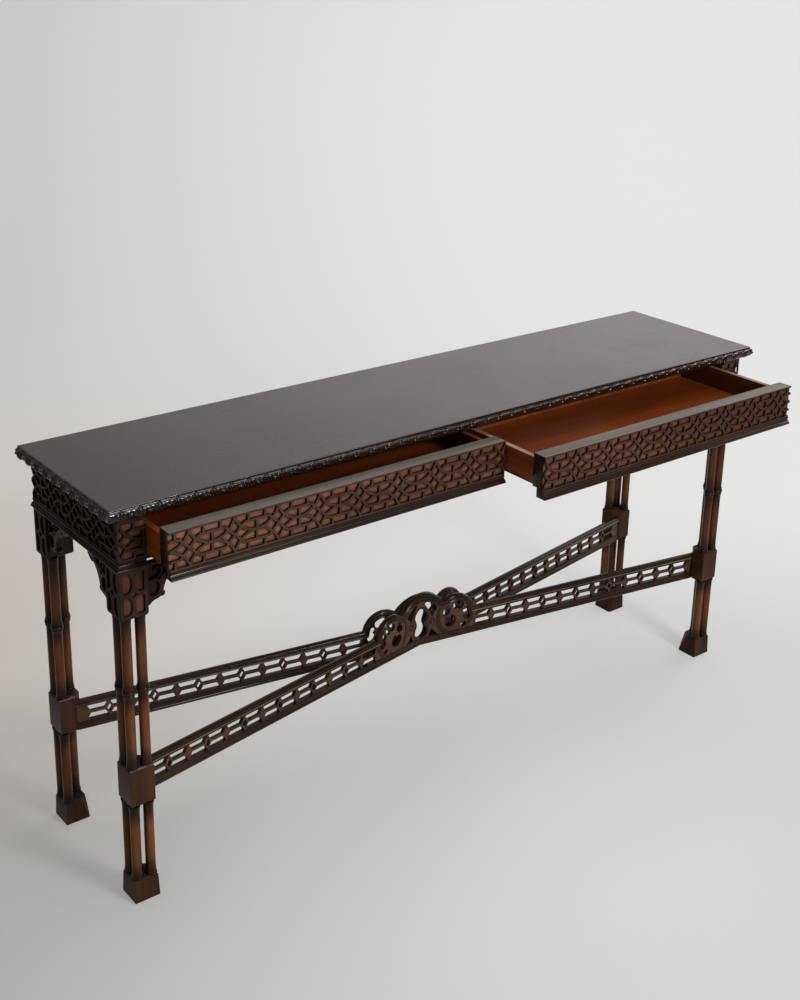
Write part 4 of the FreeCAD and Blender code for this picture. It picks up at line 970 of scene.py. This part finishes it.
def nosings():
    length, depth = TOP[1].x - TOP[0].x, TOP[1].y - TOP[0].y
    z = TOP[0].z

    def level(middle, normal):
        return normal.z > 0.97 and middle.z > z + 21.5 * MM
    for side, run, x, y, turn, mitres in (("front", length, TOP[0].x, TOP[0].y, 0, (1, 1)),
                                          ("left", depth, TOP[0].x, TOP[1].y, -90, (0, 1)),
                                          ("right", depth, TOP[1].x, TOP[0].y, 90, (1, 0))):
        matrix = Matrix.Translation((x, y, z)) @ Matrix.Rotation(math.radians(turn), 4, "Z")
        piece("carved_nosing_" + side, carved_nosing(run, mitres), (carved_wood, top_wood), "carcass",
              ["top_moulding_" + side], smooth=50, turn=matrix, chosen=level)


drawer_fronts()
waist_mouldings()
nosings()


# Materials of the solids that are kept
def dress():
    """Finishes of the solids that no piece replaces."""
    def wear(name, *finishes, chosen=lambda normal: 0):
        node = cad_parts[name]
        node.data.materials.clear()
        for finish in finishes:
            node.data.materials.append(finish)
        for face in node.data.polygons:
            face.material_index = chosen(face.normal)
    wear("top_board", top_wood)
    for name in ("front_top_rail", "front_bottom_rail", "back_rail"):
        wear(name, rail_wood)
    for name in ("centre_partition", "drawer_runners", "drawer_kickers", "drawer_guides", "glue_blocks"):
        wear(name, plain_wood)
    # Of the drawer linings, two inner faces carry painted shade and the right drawer's top edges are lighter.
    shade_painted_faces = "drawer_right_side_outer", "drawer_left_side_inner"
    for side in ("left", "right"):
        wear("drawer_%s_bottom" % side, floor_of_drawer)
        for part in ("side_inner", "side_outer", "back"):
            name = "drawer_%s_%s" % (side, part)
            wear(name, lining_wood, lining_shaded, lining_edge,
                 chosen=lambda normal: 2 if normal.z > 0.9 and side == "right" else
                 1 if normal.x < -0.9 and name in shade_painted_faces else 0)


dress()


# Floor, light and camera
def studio():
    """A pale floor that runs up into a backdrop with painted light and shade, soft lamps, and the camera."""
    paper = Finish("studio_paper")
    place = paper.node("ShaderNodeTexCoord", None, None, 3)
    along = paper.node("ShaderNodeVectorMath", {"operation": "DOT_PRODUCT"}, {0: place, 1: (0.79, -0.61, 0.0)}, 1)
    away = paper.node("ShaderNodeVectorMath", {"operation": "DOT_PRODUCT"}, {0: place, 1: (0.61, 0.79, 0.25)}, 1)
    # Painted shade: the paper's own colour darkens towards the left.
    tone = paper.ramp(paper.band(along, -1.6, 1.8),
                      ((0.0, (0.50, 0.49, 0.48)), (0.5, (0.64, 0.635, 0.63)), (1.0, (0.70, 0.70, 0.695))))
    height = paper.part(place, 2)
    side = along * along
    # Painted light and shade: lighter away from the camera, darker to both sides, and a warmer painted shadow near the
    # left feet.
    backdrop_with_painted_light = paper.ramp(paper.band(away, -1.0, 4.0),
                      [(x, (y, y, 0.985 * y)) for x, y in ((0.0, 0.40), (0.25, 0.68), (1.0, 0.92))])
    backdrop_with_painted_light = paper.mix(paper.band(side, 0.1, 0.9) * paper.band(away, 1.4, 0.0) * 0.30
                     + paper.band(along, 0.2, 0.8) * paper.band(away, 1.4, 0.0) * 0.14
                     + paper.band(side, 0.3, 3.0) * paper.band(away, 1.4, 3.0) * 0.13, backdrop_with_painted_light, (0, 0, 0))
    backdrop_with_painted_light = paper.mix(paper.band(along, -0.2, -1.2) * paper.band(away, 2.5, 0.3) * paper.band(away, -0.7, 0.1), backdrop_with_painted_light,
                     paper.scaled(backdrop_with_painted_light, (1.0, 0.85, 0.72)))
    # Painted shade: the upper part of the backdrop falls off evenly to the left.
    backdrop_with_painted_light = paper.mix(paper.band(height, 1.35, 1.75) * paper.band(along, 1.0, -2.0, 0.0, 0.5), backdrop_with_painted_light, (0, 0, 0))
    lit = paper.node("ShaderNodeBsdfDiffuse", None, {"Color": tone})
    seen = paper.node("ShaderNodeEmission", None, {"Color": backdrop_with_painted_light, "Strength": 1.0})
    rays = [paper.node("ShaderNodeLightPath", None, None, ray) for ray in ("Is Camera Ray", "Is Glossy Ray")]
    sheet = paper.finish(paper.node("ShaderNodeMixShader", None, {0: (rays[0] + rays[1]) * 0.55, 1: lit, 2: seen}))
    bm = bmesh.new()
    reach, bend, high, back = 5.5, 1.4, 4.5, 2.4
    path = [(-5.0, 0)] + [(back + bend * math.sin(a), bend * (1 - math.cos(a)))
                          for a in [math.pi / 2 * i / 16 for i in range(17)]] + [(back + bend, high)]
    view = Matrix.Rotation(math.radians(-38), 4, "Z")
    rows = [[bm.verts.new(view @ Vector((x, y, z))) for x in (-reach, reach)] for y, z in path]
    for low, high_row in zip(rows, rows[1:]):
        bm.faces.new([low[0], low[1], high_row[1], high_row[0]])
    mesh = bpy.data.meshes.new("studio_floor")
    bm.to_mesh(mesh)
    bm.free()
    mesh.shade_smooth()
    mesh.materials.append(sheet)
    floor = bpy.data.objects.new("studio_floor", mesh)
    bpy.context.scene.collection.objects.link(floor)

    world = bpy.data.worlds.new("studio")
    bpy.context.scene.world = world
    world.use_nodes = True
    world.node_tree.nodes["Background"].inputs["Color"].default_value = (1, 1, 1, 1)
    world.node_tree.nodes["Background"].inputs["Strength"].default_value = 0.30

    lamps = (("key_lamp", (0.35, -2.9, 2.0), (0.1, 0, 0.4), 0.8, 85),
             ("top_lamp", (0.6, -0.2, 4.4), (0, 0, 0), 3.4, 110),
             ("side_lamp", (3.8, 0.2, 2.4), (0, 0, 0.5), 2.0, 45))
    for name, at, towards, width, power in lamps:
        light = bpy.data.lights.new(name, "AREA")
        light.shape, light.size, light.energy = "SQUARE", width, power
        lamp = bpy.data.objects.new(name, light)
        lamp.location = at
        lamp.rotation_euler = (Vector(towards) - Vector(at)).to_track_quat("-Z", "Y").to_euler()
        bpy.context.scene.collection.objects.link(lamp)

    lens = bpy.data.cameras.new("camera")
    lens.sensor_width, lens.lens = 36, 50.615
    lens.shift_y = -0.11315
    camera = bpy.data.objects.new("camera", lens)
    camera.matrix_world = CAMERA
    bpy.context.scene.collection.objects.link(camera)
    bpy.context.scene.camera = camera
    bpy.context.scene.view_settings.view_transform = "Standard"


CAMERA = Matrix(((0.790288, 0.183186, -0.584712, -1.750903),
                 (-0.612400, 0.267727, -0.743833, -2.047046),
                 (0.020283, 0.945920, 0.323765, 1.752199),
                 (0.000000, 0.000000, 0.000000, 1.000000)))

studio()
